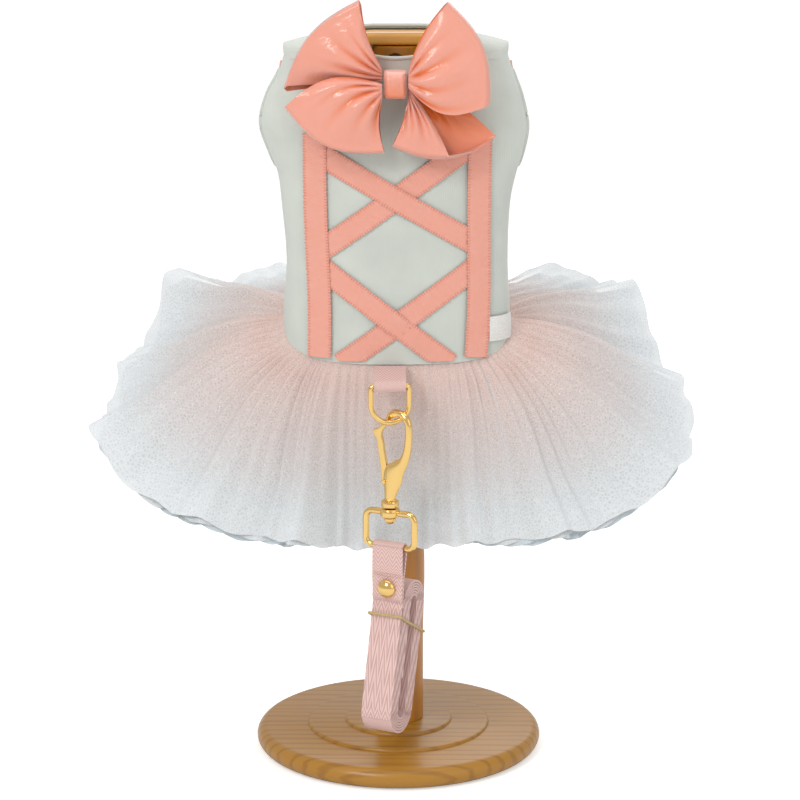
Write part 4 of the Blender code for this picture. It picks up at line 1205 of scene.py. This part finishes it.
@dataclass
class Bow:
    """Four open satin loops round a wrapped knot."""
    span: float = 0.127
    centre: Vector = Vector((-0.0018, 0.0, 0.4280))
    knot_width: float = 0.0140
    knot_height: float = 0.0166
    knot_front: float = -0.0575
    knot_back: float = -0.0292
    pleats: float = 4.5
    pleat_depth: float = 0.0021
    loops: tuple = (
        Loop("bow_loop_upper_left", (-0.062, 0.066), (-0.062, 0.018),
             Ply((-0.168, 0.378), (-0.505, -0.008), 0.072, -0.016, 0.00, -0.0450, -0.050, -0.0435, 0.006),
             Ply((-0.158, 0.366), (-0.508, -0.040), 0.060, -0.020, 0.00, -0.0410, -0.041, -0.0375, 0.001),
             (0.052, 0.083)),
        Loop("bow_loop_upper_right", (0.062, 0.066), (0.062, -0.010),
             Ply((0.238, 0.378), (0.418, -0.095), 0.074, 0.020, 0.075, -0.0525, -0.050, -0.0560, 0.006),
             Ply((0.226, 0.366), (0.428, -0.080), 0.066, 0.020, 0.050, -0.0480, -0.042, -0.0480, 0.001),
             (0.055, 0.090)),
        Loop("bow_loop_lower_left", (-0.062, 0.008), (-0.062, -0.058),
             Ply((-0.510, -0.090), (-0.054, -0.302), 0.086, 0.078, 0.020, -0.0525, -0.0545, -0.052, 0.007),
             Ply((-0.498, -0.092), (-0.060, -0.290), 0.074, 0.066, 0.012, -0.0485, -0.0485, -0.041, 0.001),
             (0.055, 0.085)),
        Loop("bow_loop_lower_right", (0.062, -0.020), (0.062, -0.060),
             Ply((0.252, -0.330), (-0.008, -0.272), 0.012, 0.014, 0.010, -0.0455, -0.0520, -0.0520, 0.004),
             Ply((0.472, -0.248), (-0.004, -0.268), 0.078, 0.040, 0.010, -0.0415, -0.0410, -0.0420, 0.001),
             (0.040, 0.076)),
    )

    def point(self, loop: Loop, ply: Ply, s: float, t: float) -> tuple[Vector, float]:
        """A point of a ply and the painted shade that its pleats give it.

        Args:
            loop: The loop.
            ply: Its front or back side.
            s: The share from the knot to the fold.
            t: The share from the upper to the lower edge.

        Returns:
            The point and its painted shade, 0 to 1.
        """
        edges = []
        for root, tip, bulge in ((loop.root_top, ply.upper_tip, ply.upper_bulge),
                                 (loop.root_bottom, ply.lower_tip, -ply.lower_bulge)):
            run = Vector((tip[0] - root[0], tip[1] - root[1]))
            side = Vector((-run.y, run.x)).normalized()
            if side.y < 0 or (abs(side.y) < 0.3 and side.x * root[0] > 0):
                side = -side
            edges.append(Vector(root) + run * s + side * bulge * math.sin(math.pi * s))
        place = edges[0].lerp(edges[1], t)
        upper, lower = Vector(ply.upper_tip), Vector(ply.lower_tip)
        away = Vector((lower.y - upper.y, upper.x - lower.x)).normalized()
        if away.dot(upper + lower) < 0:
            away = -away
        place += away * ply.fold_bulge * math.sin(math.pi * t) * s * s
        y = lerp(ply.root_y, lerp(ply.upper_y, ply.lower_y, t), min(1.0, s * 1.5) ** 0.7)
        y -= ply.puff * math.sin(math.pi * min(1.0, s * 1.05)) * math.sin(math.pi * t) ** 0.6
        phase = 2 * math.pi * self.pleats * (t + 0.05 * math.sin(5 * t))
        reach = (1 - s) ** 1.3 * min(1.0, s * 5)
        pleat = math.cos(phase) * reach
        soft = 0.35 * math.cos(phase * 0.5 + 0.7) * math.sin(math.pi * s)
        y += self.pleat_depth * (pleat + soft)
        # painted shade, strongest in the pleats' hollows
        pleat_shade = clamp(pleat * 1.1 + 0.25 * soft) ** 1.5
        return self.centre + Vector((place.x * self.span, y, place.y * self.span)), pleat_shade

    def build(self) -> None:
        """Model and dress the loops and the knot."""
        columns = [j / 48 for j in range(49)]
        for loop in self.loops:
            rows, painted_shade = [], []
            for s in [i / 34 for i in range(35)]:
                made = [self.point(loop, loop.front, s, t) for t in columns]
                rows.append([point for point, _ in made])
                # painted shade on the front ply, from its pleats
                painted_shade.append([clamp(pleat_shade * 1.6 + 0.08) for _, pleat_shade in made])
            back = [[self.point(loop, loop.back, 1 - i / 24, t)[0] for t in columns] for i in range(25)]
            crest = []
            for front, behind, inner in zip(rows[-1], back[0], rows[-2]):
                outward = (front - inner).normalized() * abs(front.y - behind.y) * 0.3
                crest.append((front + behind) / 2 + Vector((outward.x, 0, outward.z)))
            rows += [crest] + back
            # painted shade: little on the rim where the ply turns over, and deep on the back ply, deepest
            # towards the knot
            painted_shade += [[0.1] * 49] + [[clamp(0.45 + i / 20)] * 49 for i in range(25)]
            satin = modify(cloth(rows, (0.055, 0.12), painted_shade=painted_shade), "SOLIDIFY", thickness=0.0005, offset=0.0)
            settle(satin, f"satin_{loop.name}", "dress_on_stand", BOW_SATIN, [loop.name], 75)
        rings = []
        for i in range(25):
            share = i / 12 - 1
            waist = (1 - abs(share) ** 3.2) ** 0.3 if abs(share) < 1 else 0.12
            waist *= 1 - 0.09 * math.exp(-(share * 2.4) ** 2)
            ring = []
            for k in range(56):
                a = 2 * math.pi * k / 56
                x = math.copysign(abs(math.cos(a)) ** 0.7,
                                  math.cos(a)) * self.knot_width / 2 * (0.86 + 0.14 * waist)
                y = math.copysign(abs(math.sin(a)) ** 0.6,
                                  math.sin(a)) * (self.knot_back - self.knot_front) / 2 * waist
                pleat = 0.00035 * math.cos(x * 2100 + share * 1.3) * (1 if math.sin(a) < 0 else 0)
                ring.append(self.centre + Vector((x, (self.knot_back + self.knot_front) / 2 + y + pleat,
                                                  share * self.knot_height / 2)))
            rings.append(ring)
        knot = loft(rings)
        # painted shade on the knot: none on its upper part, deeper towards its bottom
        knot.data.attributes.new("fold", "FLOAT", "POINT").data.foreach_set(
            "value", [clamp(0.5 - (vertex.co.z - self.centre.z) / self.knot_height * 1.4) * 0.6
                      for vertex in knot.data.vertices])
        settle(knot, "wrapped_knot", "dress_on_stand", BOW_SATIN, ["bow_knot"], 60)


@dataclass
class Skirt:
    """Four gathered tulle layers that flare sideways and hang steeply in front."""
    bodice: Bodice
    length: float = 0.124
    gathers: int = 14
    depth: float = 0.0055
    puff: float = 0.005
    pitch: float = 0.0011
    droop: float = 0.055
    trim: float = 0.96
    # the waist is tucked in and up under the bodice's hem over this share of the length
    tuck_share: float = 0.06
    tuck_in: float = 0.0034
    tuck_up: float = 0.0050
    hem_gap: float = 0.0012
    layers: int = 4
    # angle from the front, reach and drop as shares of the length
    flare: tuple = ((0, 0.05, 0.91), (22, 0.12, 0.90), (38, 0.34, 0.85), (55, 0.56, 0.79), (70, 0.81, 0.64),
                    (84, 0.94, 0.49), (98, 0.91, 0.39), (112, 0.92, 0.27), (123, 0.94, 0.08),
                    (131, 1.00, -0.05),
                    (155, 1.00, -0.03), (180, 0.98, 0.02))

    def layer(self, index: int) -> Rows:
        """The points of one layer, from the waist to the hem; layer 0 is on top.

        Args:
            index: The layer, 0 for the top one.

        Returns:
            The rows of points.
        """
        body = self.bodice
        depth_share = index * 2 / (self.layers - 1)
        half_width, half_depth = body.half_width - 0.0005, body.half_depth * 0.97 - 0.0005
        length = self.length * self.trim**depth_share
        columns, rows = 640, []
        for i in range(27):
            s = (i / 26) ** 1.15
            ring = []
            for k in range(columns):
                turn = 2 * math.pi * k / columns
                tuck = max(0.0, 1 - s / self.tuck_share)
                inner = (half_width - self.tuck_in * tuck, half_depth - self.tuck_in * tuck,
                         -0.008 * body.half_width)
                waist = body.around(turn, inner)
                waist.z = body.hem(waist.y, inner[1]) - self.hem_gap + self.tuck_up * tuck
                degrees = abs(((math.degrees(turn) + 180) % 360) - 180)
                reach, drop = spline(self.flare, degrees)
                drop += self.droop * depth_share * s * min(1.0, reach / 0.3)
                out = Vector((-math.sin(turn), -math.cos(turn), 0.0))
                steep = Vector((reach, drop)).normalized()
                normal = out * steep.y + UP * steep.x
                calm = 0.35 + 0.65 * min(1.0, reach / 0.3)
                puff = self.puff * math.sin(math.pi * min(1.0, s * 1.4)) * (1 - 0.08 * index)
                wave = self.depth * math.sin(self.gathers * turn + 0.6) * s**0.8 * calm
                stray = noise.noise(Vector((math.cos(turn) * 3, math.sin(turn) * 3, index * 0.7)))
                fine = 0.0016 * math.sin(73 * turn + index + 4 * stray) * min(1.0, s * 9) * (1 - 0.55 * s)
                fine += 0.0013 * math.sin((39 + index) * turn + 2 * index + 5 * stray) * s
                edge = 1 + 0.018 * math.sin(5 * turn + 1.0) + 0.012 * math.sin(31 * turn + 2 * index)
                point = waist + out * reach * length * s * edge - UP * drop * length * s**1.1 * edge
                ring.append(point + normal * ((puff + fine) * calm + wave - index * self.pitch))
            rows.append(ring)
        return rows

    def build(self) -> None:
        """Model and dress the layers."""
        stands_for = {0: ["skirt_top"], 1: ["skirt_middle"], 3: ["skirt_under"]}
        for index in range(self.layers):
            blush = index < 2
            tulle = cloth(self.layer(index), (1.3, self.length), wrapped=True)
            settle(tulle, f"tulle_layer_{index + 1}", "dress_on_stand", BLUSH_TULLE if blush else PALE_TULLE,
                   stands_for.get(index, ()), 180)


@dataclass
class TabAndRing:
    """The webbing tab under the front hem and the D-ring that hangs in it."""
    bodice: Bodice
    ring_wire: float = 0.0033
    # the drawn wire's radius and the ring's corner, as shares of the CAD wire's thickness
    wire_share: float = 0.485
    corner_share: float = 0.6
    ring_width: float = 0.0265
    ring_height: float = 0.0261
    ring_bottom: float = 0.2248
    ring_yaw: float = 8.0
    crossing: float = 0.0035
    tab_width: float = 0.0192
    webbing: float = 0.0013

    def build(self) -> None:
        """Model and dress the ring and the tab."""
        along, across = yawed(self.ring_yaw)
        crossing = HANG + yawed(-37.0)[0] * self.crossing
        middle = crossing - along * (crossing.x - HANG.x) / along.x
        half = (self.ring_width - self.ring_wire) / 2
        corner = self.ring_wire * self.corner_share
        bar = self.ring_bottom + self.ring_height - self.ring_wire / 2
        bottom = self.ring_bottom + self.ring_wire / 2
        route = [(-half * math.cos(math.pi * i / 36), bottom + half - half * math.sin(math.pi * i / 36))
                 for i in range(37)]
        for side, base in ((1, 0.0), (-1, math.pi / 2)):
            for step in range(9):
                angle = base + math.pi / 16 * step
                route.append((side * (half - corner) + corner * math.cos(angle),
                              bar - corner + corner * math.sin(angle)))
        ring = wire([middle + along * u + UP * z for u, z in route], self.ring_wire * self.wire_share, across,
                    closed=True, sides=24)
        settle(ring, "bent_d_ring", "ring", GOLD, ["d_ring"], 60)

        wrap = self.ring_wire / 2 + 0.0003 + self.webbing / 2
        start = -self.bodice.half_depth * 0.97 - self.webbing / 2 - 0.0006
        reach = start - middle.y
        hem = self.bodice.bottom - self.webbing / 2 - 0.0003
        profile = [(reach, hem), (reach * 0.5, lerp(hem, bar + wrap, 0.55))]
        profile += [(wrap * math.cos(a), bar + wrap * math.sin(a))
                    for a in (math.radians(d) for d in range(90, 271, 20))]
        profile += [(reach * 0.5, lerp(hem, bar - wrap, 0.62) - self.webbing * 0.6),
                    (reach, hem - self.webbing - 0.00045)]
        rows = []
        for back, z in smooth_line(profile, 4):
            turn = 1.0 - clamp(back / reach)
            side = (Vector((1, 0, 0)) * (1 - turn) + along * turn).normalized()
            centre = Vector((middle.x, middle.y + back, z))
            rows.append([centre + side * self.tab_width * (j / 10 - 0.5) for j in range(11)])
        tab = modify(cloth(rows, (self.tab_width, 0.085)), "SOLIDIFY", thickness=self.webbing, offset=0.0)
        settle(tab, "folded_webbing_tab", "dress_on_stand", PINK_WEBBING, ["ring_tab"], 50)


@dataclass
class SnapHook:
    """The cast snap hook with its collar and swivel stem, and the sprung gate."""
    yaw: float = -37.0
    eye_radius: float = 0.0080
    eye_shift: float = 0.0060
    eye_height: float = 0.2247
    half_wire: float = 0.0022
    collar_top: float = 0.1775
    collar_height: float = 0.0041
    collar: float = 0.0055
    stem: float = 0.0020
    head: float = 0.0038
    boss_low: float = 0.1670
    gate_thickness: float = 0.0020
    pivot: tuple = (-0.0030, 0.1890)
    # along, height, half width, half thickness
    shank: tuple = ((0.0140, 0.2180, 0.0023, 0.0023), (0.0129, 0.2100, 0.0025, 0.0024),
                    (0.0098, 0.2025, 0.0034, 0.0026),
                    (0.0036, 0.1960, 0.0068, 0.0028), (0.0016, 0.1895, 0.0066, 0.0028),
                    (0.0006, 0.1835, 0.0048, 0.0028),
                    (0.0000, 0.1785, 0.0036, 0.0028))
    outline: tuple = ((-0.0052, 0.1868), (-0.0020, 0.1862), (-0.0004, 0.1890), (-0.0014, 0.1960),
                      (-0.0040, 0.2080),
                      (-0.0050, 0.2140), (-0.0062, 0.2175), (-0.0052, 0.2205), (-0.0024, 0.2245),
                      (-0.0050, 0.2250),
                      (-0.0084, 0.2215), (-0.0118, 0.2205), (-0.0124, 0.2180), (-0.0096, 0.2145),
                      (-0.0088, 0.2100),
                      (-0.0064, 0.1960))

    def build(self) -> None:
        """Model and dress the hook and its gate."""
        along, across = yawed(self.yaw)
        sections = []
        for i, degrees in enumerate(range(160, -1, -20)):
            angle, slim = math.radians(degrees), (0.68, 0.86)[i] if i < 2 else 1.0
            sections.append((self.eye_shift + self.eye_radius * math.cos(angle),
                             self.eye_height + self.eye_radius * math.sin(angle), self.half_wire * slim,
                             self.half_wire * slim))
        fine = smooth_line(sections + list(self.shank), 6)
        rings = []
        for i, (u, z, half_width, half_thickness) in enumerate(fine):
            before, after = fine[max(i - 1, 0)], fine[min(i + 1, len(fine) - 1)]
            heading = (along * (after[0] - before[0]) + UP * (after[1] - before[1])).normalized()
            if i == 0:
                for scale, back in ((0.45, 0.0009), (0.8, 0.0005)):
                    rings.append(oval(HANG + along * u + UP * z - heading * back, heading.cross(across),
                                      across, 32,
                                      half_width * scale, half_thickness * scale))
            rings.append(oval(HANG + along * u + UP * z, heading.cross(across), across, 32, half_width,
                              half_thickness))
        low = self.collar_top - self.collar_height
        for radius, z in ((self.collar * 0.80, self.collar_top),
                          (self.collar * 0.95, self.collar_top - 0.0003),
                          (self.collar, self.collar_top - 0.0010), (self.collar, low + 0.0010),
                          (self.collar * 0.95, low + 0.0003), (self.collar * 0.80, low),
                          (self.stem, low - 0.00001),
                          (self.stem, self.boss_low - 0.0003), (self.head, self.boss_low - 0.0005),
                          (self.head * 1.02, self.boss_low - 0.0015),
                          (self.head * 0.90, self.boss_low - 0.0026),
                          (self.head * 0.62, self.boss_low - 0.0038),
                          (self.head * 0.25, self.boss_low - 0.0046)):
            rings.append(oval(HANG + UP * z, Vector((0, 0, -1)).cross(across), across, 32, radius))
        hook = loft(rings)
        slot = self.gate_thickness + 0.0006
        bottom, top = self.pivot[1] - 0.0060, self.pivot[1] + 0.0165
        corners = ((-0.0120, bottom + 0.002), (0.0026, bottom), (0.0046, bottom + 0.008), (0.0040, top),
                   (-0.0120, top))
        faces = [[HANG + across * slot * side + along * u + UP * z for u, z in corners]
                 for side in (-0.5, 0.5)]
        carve(hook, loft(faces))
        pin = HANG + along * self.pivot[0] + UP * self.pivot[1]
        modify(hook, "BEVEL", width=0.0003, segments=2, limit_method="ANGLE", angle_limit=math.radians(50))
        carve(hook, rod(0.0010, pin - across * 0.0020, pin + across * 0.0020, 24), "UNION")
        settle(hook, "cast_snap_hook", "hook", GOLD, ["hook_body"], 40)
        heads = []
        for side in (-1, 1):
            heads.append(rod(0.0014, pin + across * side * 0.0021, pin + across * side * 0.0032, 24))
        activate(heads[0])
        heads[1].select_set(True)
        bpy.ops.object.join()
        rivet = modify(heads[0], "BEVEL", width=0.0004, segments=3, limit_method="ANGLE")
        settle(rivet, "gate_pin_heads", "hook", GOLD)

        outline = smooth_line(self.outline, 3, closed=True)
        faces = [[HANG + across * self.gate_thickness * side + along * u + UP * z for u, z in outline]
                 for side in (-0.5, 0.5)]
        gate = modify(loft(faces), "BEVEL", width=0.0004, segments=3, limit_method="ANGLE",
                      angle_limit=math.radians(60))
        carve(gate, rod(0.0013, pin - across * 0.004, pin + across * 0.004, 24))
        settle(gate, "sprung_gate", "gate", GOLD, ["hook_gate"], 40)


@dataclass
class SwivelRing:
    """The rectangular wire ring with its round boss."""
    yaw: float = -27.0
    wire: float = 0.0039
    width: float = 0.037
    top: float = 0.1698
    bottom: float = 0.1480
    corner: float = 0.0048

    def build(self) -> None:
        """Model and dress the ring."""
        along, across = yawed(self.yaw)
        half = (self.width - self.wire) / 2
        route = []
        for side, z, base in ((1, self.top, 0), (-1, self.top, 90), (-1, self.bottom, 180),
                              (1, self.bottom, 270)):
            inward = -self.corner if z == self.top else self.corner
            for step in range(9):
                angle = math.radians(base + 11.25 * step)
                route.append((side * (half - self.corner) + self.corner * math.cos(angle),
                              z + inward + self.corner * math.sin(angle)))
        ring = wire([HANG + along * u + UP * z for u, z in route], self.wire / 2, across, closed=True,
                    sides=24)
        low = self.top - 0.0028
        boss = turned([(0.0049, low), (0.0056, low + 0.0004), (0.0060, low + 0.0012), (0.0060, low + 0.0044),
                       (0.0056, low + 0.0052), (0.0049, low + 0.0056)], 48, HANG)
        activate(boss)
        bpy.ops.object.transform_apply(location=True, rotation=True, scale=True)
        carve(ring, boss, "UNION")
        carve(ring, rod(0.0023, HANG + UP * (low - 0.005), HANG + UP * (low + 0.012), 32))
        settle(ring, "rectangular_swivel_ring", "leash", GOLD, ["swivel_ring"], 45)


@dataclass
class Leash:
    """The webbing strap: folded round the ring, riveted, stitched and wound in a hank."""
    ring: SwivelRing
    width: float = 0.020
    thick: float = 0.0013
    height: float = 0.0965
    depth: float = 0.0300
    turns: int = 6
    pitch: float = 0.00165
    tilt: float = math.radians(14)
    centre_z: float = 0.0785
    centre_back: float = 0.0040
    rivet_z: float = 0.1227
    band_z: float = 0.1055

    def hank(self, radius: float, straight: float, phi: float) -> Vector:
        """A place (back, z) of the winding; phi 0 is the front going down.

        Args:
            radius: The winding's radius.
            straight: The length of its straight sides.
            phi: The angle round it.

        Returns:
            The place (back, z).
        """
        up = Vector((math.sin(self.tilt), math.cos(self.tilt)))
        back = Vector((math.cos(self.tilt), -math.sin(self.tilt)))
        end = -1 if phi <= math.pi else 1
        return (Vector((self.centre_back, self.centre_z)) + up * (end * straight / 2 - radius * math.sin(phi))
                - back * radius * math.cos(phi))

    def place(self, back: float, z: float, across_strap: float) -> Vector:
        """A point of the leash from its side view and its place across the strap."""
        along, across = yawed(self.ring.yaw)
        return HANG + across * back + UP * z + along * across_strap

    def path(self) -> list[Vector]:
        """The strap's side view: tail, fold round the ring, lead, then the hank.

        Returns:
            The route's points, as (back, z).
        """
        wrap = self.ring.wire / 2 + 0.0003 + self.thick / 2
        outer = self.depth / 2 - self.thick / 2
        straight = self.height - self.depth
        front = self.hank(outer, straight, 2 * math.pi)
        ply = self.thick + 0.0003
        lead = front.x - ply - 0.0004
        path = [Vector((lead + ply, front.y - 0.0035)), Vector((lead + ply, front.y + 0.003)),
                Vector((lerp(lead, 0, 0.25) + ply, self.rivet_z + 0.006)),
                Vector((lead * 0.3 + ply * 1.25, self.rivet_z + 0.014))]
        path += [Vector((wrap * math.cos(a), self.ring.bottom + wrap * math.sin(a)))
                 for a in (math.radians(d) for d in range(0, 181, 15))]
        path += [Vector((lead * 0.75 - 0.0004, self.rivet_z + 0.014)),
                 Vector((lerp(lead, 0, 0.25), self.rivet_z + 0.006)),
                 Vector((lead, front.y + 0.003)), Vector((lead - 0.0002, front.y - 0.0055))]
        radius = outer
        for turn in range(self.turns):
            for end in (0, 1):
                for step in range(13):
                    phi = math.pi * (end + step / 12)
                    radius = outer - self.pitch * (turn + phi / (2 * math.pi))
                    path.append(self.hank(radius, straight, phi if end == 0 or step else math.pi + 0.0001))
        path.append(self.hank(radius, -straight * 0.4, 2 * math.pi))
        return path

    def build(self) -> None:
        """Model and dress the strap, its stitches, rivet and band."""
        line = smooth_line(self.path(), 3)
        length = sum((b - a).length for a, b in zip(line, line[1:]))
        rows = [[self.place(point.x, point.y, self.width * (j / 10 - 0.5)) for j in range(11)]
                for point in line]
        strap = modify(cloth(rows, (self.width, length)), "SOLIDIFY", thickness=self.thick, offset=0.0)
        settle(strap, "wound_webbing", "leash", PINK_WEBBING, ["leash_webbing"], 50)

        along, across = yawed(self.ring.yaw)
        path = self.path()
        below, above = path[19], path[18]
        face = lerp(below.x, above.x, (self.rivet_z - below.y) / (above.y - below.y)) - self.thick / 2
        rings = [oval(self.place(face - 0.00045 - 0.0042 * depth, self.rivet_z, 0.0), along, UP, 48,
                      0.0058 * share)
                 for depth, share in ((0.0, 0.92), (0.06, 0.98), (0.15, 1.0), (0.28, 0.985), (0.5, 0.88),
                                      (0.72, 0.69),
                                      (0.88, 0.47), (0.97, 0.24), (1.0, 0.06))]
        settle(loft(rings), "dome_rivet", "leash", GOLD, ["leash_rivet"], 60)

        seams = []
        for z, lean in ((self.rivet_z + 0.0092, 0.9), (self.rivet_z + 0.0076, -0.9),
                        (self.rivet_z - 0.0078, 0.0)):
            back = next(lerp(a.x, b.x, (z - a.y) / (b.y - a.y)) for a, b in zip(path[17:], path[18:])
                        if b.y <= z <= a.y)
            for k in range(11):
                heading = (along + UP * lean * (1 if k < 5.5 else -1) * 0.8).normalized()
                seams.append((self.place(back - self.thick / 2 - 0.0001, z,
                                         self.width * 0.84 * (k / 10 - 0.5)), heading, -across))
        settle(stitches(seams, 0.0017, 0.0005), "strap_stitching", "leash", THREAD)

        up = Vector((math.sin(self.tilt), math.cos(self.tilt)))
        back = Vector((math.cos(self.tilt), -math.sin(self.tilt)))
        half, deep = self.width / 2 + 0.0008, self.depth / 2 + 0.0008
        rise = (self.band_z - self.centre_z - deep * math.sin(self.tilt)) / math.cos(self.tilt)
        corners = ((-deep - 0.0022, -half + 0.001), (-deep - 0.0024, 0.0), (-deep - 0.0022, half - 0.001),
                   (-deep, half),
                   (0.0, half), (deep - 0.001, half), (deep, half - 0.001), (deep, -half + 0.001),
                   (deep - 0.001, -half),
                   (0.0, -half), (-deep, -half))
        loop = []
        for b, u in corners:
            spot = Vector((self.centre_back,
                           self.centre_z)) + up * (rise - 0.0045 * (b / deep + 1)) + back * b
            loop.append(self.place(spot.x, spot.y, u))
        band = wire(smooth_line(loop, 6, closed=True), 0.0008, closed=True, sides=10, flat=1.2)
        settle(band, "rubber_loop", "leash", RUBBER, ["rubber_band"])


@dataclass
class Studio:
    """A pale floor, soft lights and the camera at the photograph's angle."""
    # name, place, size, power
    lamps: tuple = (("key", (-0.9, -1.5, 1.5), 0.7, 13.5), ("fill", (1.2, -1.2, 0.9), 1.2, 3.2),
                    ("top", (0.1, 0.2, 1.6), 1.4, 7.0), ("back", (0.3, 1.4, 1.1), 1.0, 3.2))
    aim: tuple = (0, 0, 0.25)
    eye: tuple = (0.001, -1.8484, 0.6818)
    eye_tilt: float = 76.1
    lens: float = 137.66
    sensor: float = 36.0
    # the sky's strength as a lamp and as the camera sees it, and what the camera's view adds to the floor
    sky_light: float = 0.60
    sky_seen: float = 1.02
    floor_lift: float = 0.45
    floor_size: float = 24.0
    floor_drop: float = -0.0005

    def build(self) -> None:
        """Place the camera, lights, world and floor."""
        self.place_camera()
        self.place_lamps()
        self.light_sky()
        self.lay_floor()

    def place_camera(self) -> None:
        """Stand the camera where the photograph was taken from."""
        camera = bpy.data.cameras.new("camera")
        camera.lens, camera.sensor_width = self.lens, self.sensor
        eye = bpy.data.objects.new("camera", camera)
        eye.location = self.eye
        eye.rotation_euler = (math.radians(self.eye_tilt), 0.0, 0.0)
        bpy.context.scene.collection.objects.link(eye)
        bpy.context.scene.camera = eye

    def place_lamps(self) -> None:
        """Aim each soft lamp at the object's middle."""
        for name, place, size, power in self.lamps:
            lamp = bpy.data.lights.new(name, "AREA")
            lamp.size, lamp.energy = size, power
            held = bpy.data.objects.new(name, lamp)
            held.location = place
            held.rotation_euler = (Vector(self.aim) - Vector(place)).to_track_quat("-Z", "Y").to_euler()
            bpy.context.scene.collection.objects.link(held)

    def light_sky(self) -> None:
        """Surround the object with white and set how light is followed."""
        world = bpy.data.worlds.new("studio")
        world.use_nodes = True
        sky = world.node_tree.nodes["Background"]
        sky.inputs["Color"].default_value = (1.0, 1.0, 1.0, 1.0)
        # the camera sees pure white behind the object, which is lit by a softer white
        seen = add(world.node_tree, "LightPath")
        level = add(world.node_tree, "MapRange", {"To Min": self.sky_light, "To Max": self.sky_seen},
                    {"Value": seen.outputs["Is Camera Ray"]})
        world.node_tree.links.new(level.outputs["Result"], sky.inputs["Strength"])
        bpy.context.scene.world = world
        bpy.context.scene.view_settings.view_transform = "Standard"
        # the layers of net are seen through each other, and few bounces suffice in a white room
        cycles = bpy.context.scene.cycles
        cycles.adaptive_threshold = 0.03
        cycles.transparent_max_bounces, cycles.max_bounces = 12, 5
        cycles.diffuse_bounces, cycles.glossy_bounces = 2, 3

    def lay_floor(self) -> None:
        """Lay the pale floor, which the camera sees as white as the sky."""
        deselect()
        bpy.ops.mesh.primitive_plane_add(size=self.floor_size, location=(0, 4, self.floor_drop))
        floor = bpy.context.object
        floor.name = "pale_floor"
        white = Finish("matt_white_floor", "#FCFCFB", 0.85).material()
        shader = next(node for node in white.node_tree.nodes if node.type == "BSDF_PRINCIPLED")
        direct = add(white.node_tree, "LightPath")
        lift = add(white.node_tree, "Math", {"operation": "MULTIPLY", 1: self.floor_lift},
                   {0: direct.outputs["Is Camera Ray"]})
        shader.inputs["Emission Color"].default_value = (1.0, 1.0, 1.0, 1.0)
        white.node_tree.links.new(lift.outputs[0], shader.inputs["Emission Strength"])
        floor.data.materials.append(white)


STAND = Stand()


def main() -> None:
    """Build every piece in order."""
    logging.basicConfig(level=logging.INFO, format="%(name)s: %(message)s")
    Studio().build()
    STAND.build()
    bodice = Bodice()
    bodice.build()
    ribbons = Ribbons(bodice)
    ribbons.build()
    SidePieces(bodice, ribbons).build()
    Bow().build()
    Skirt(bodice).build()
    TabAndRing(bodice).build()
    SnapHook().build()
    ring = SwivelRing()
    ring.build()
    Leash(ring).build()
    deselect()


if __name__ == "__main__":
    main()
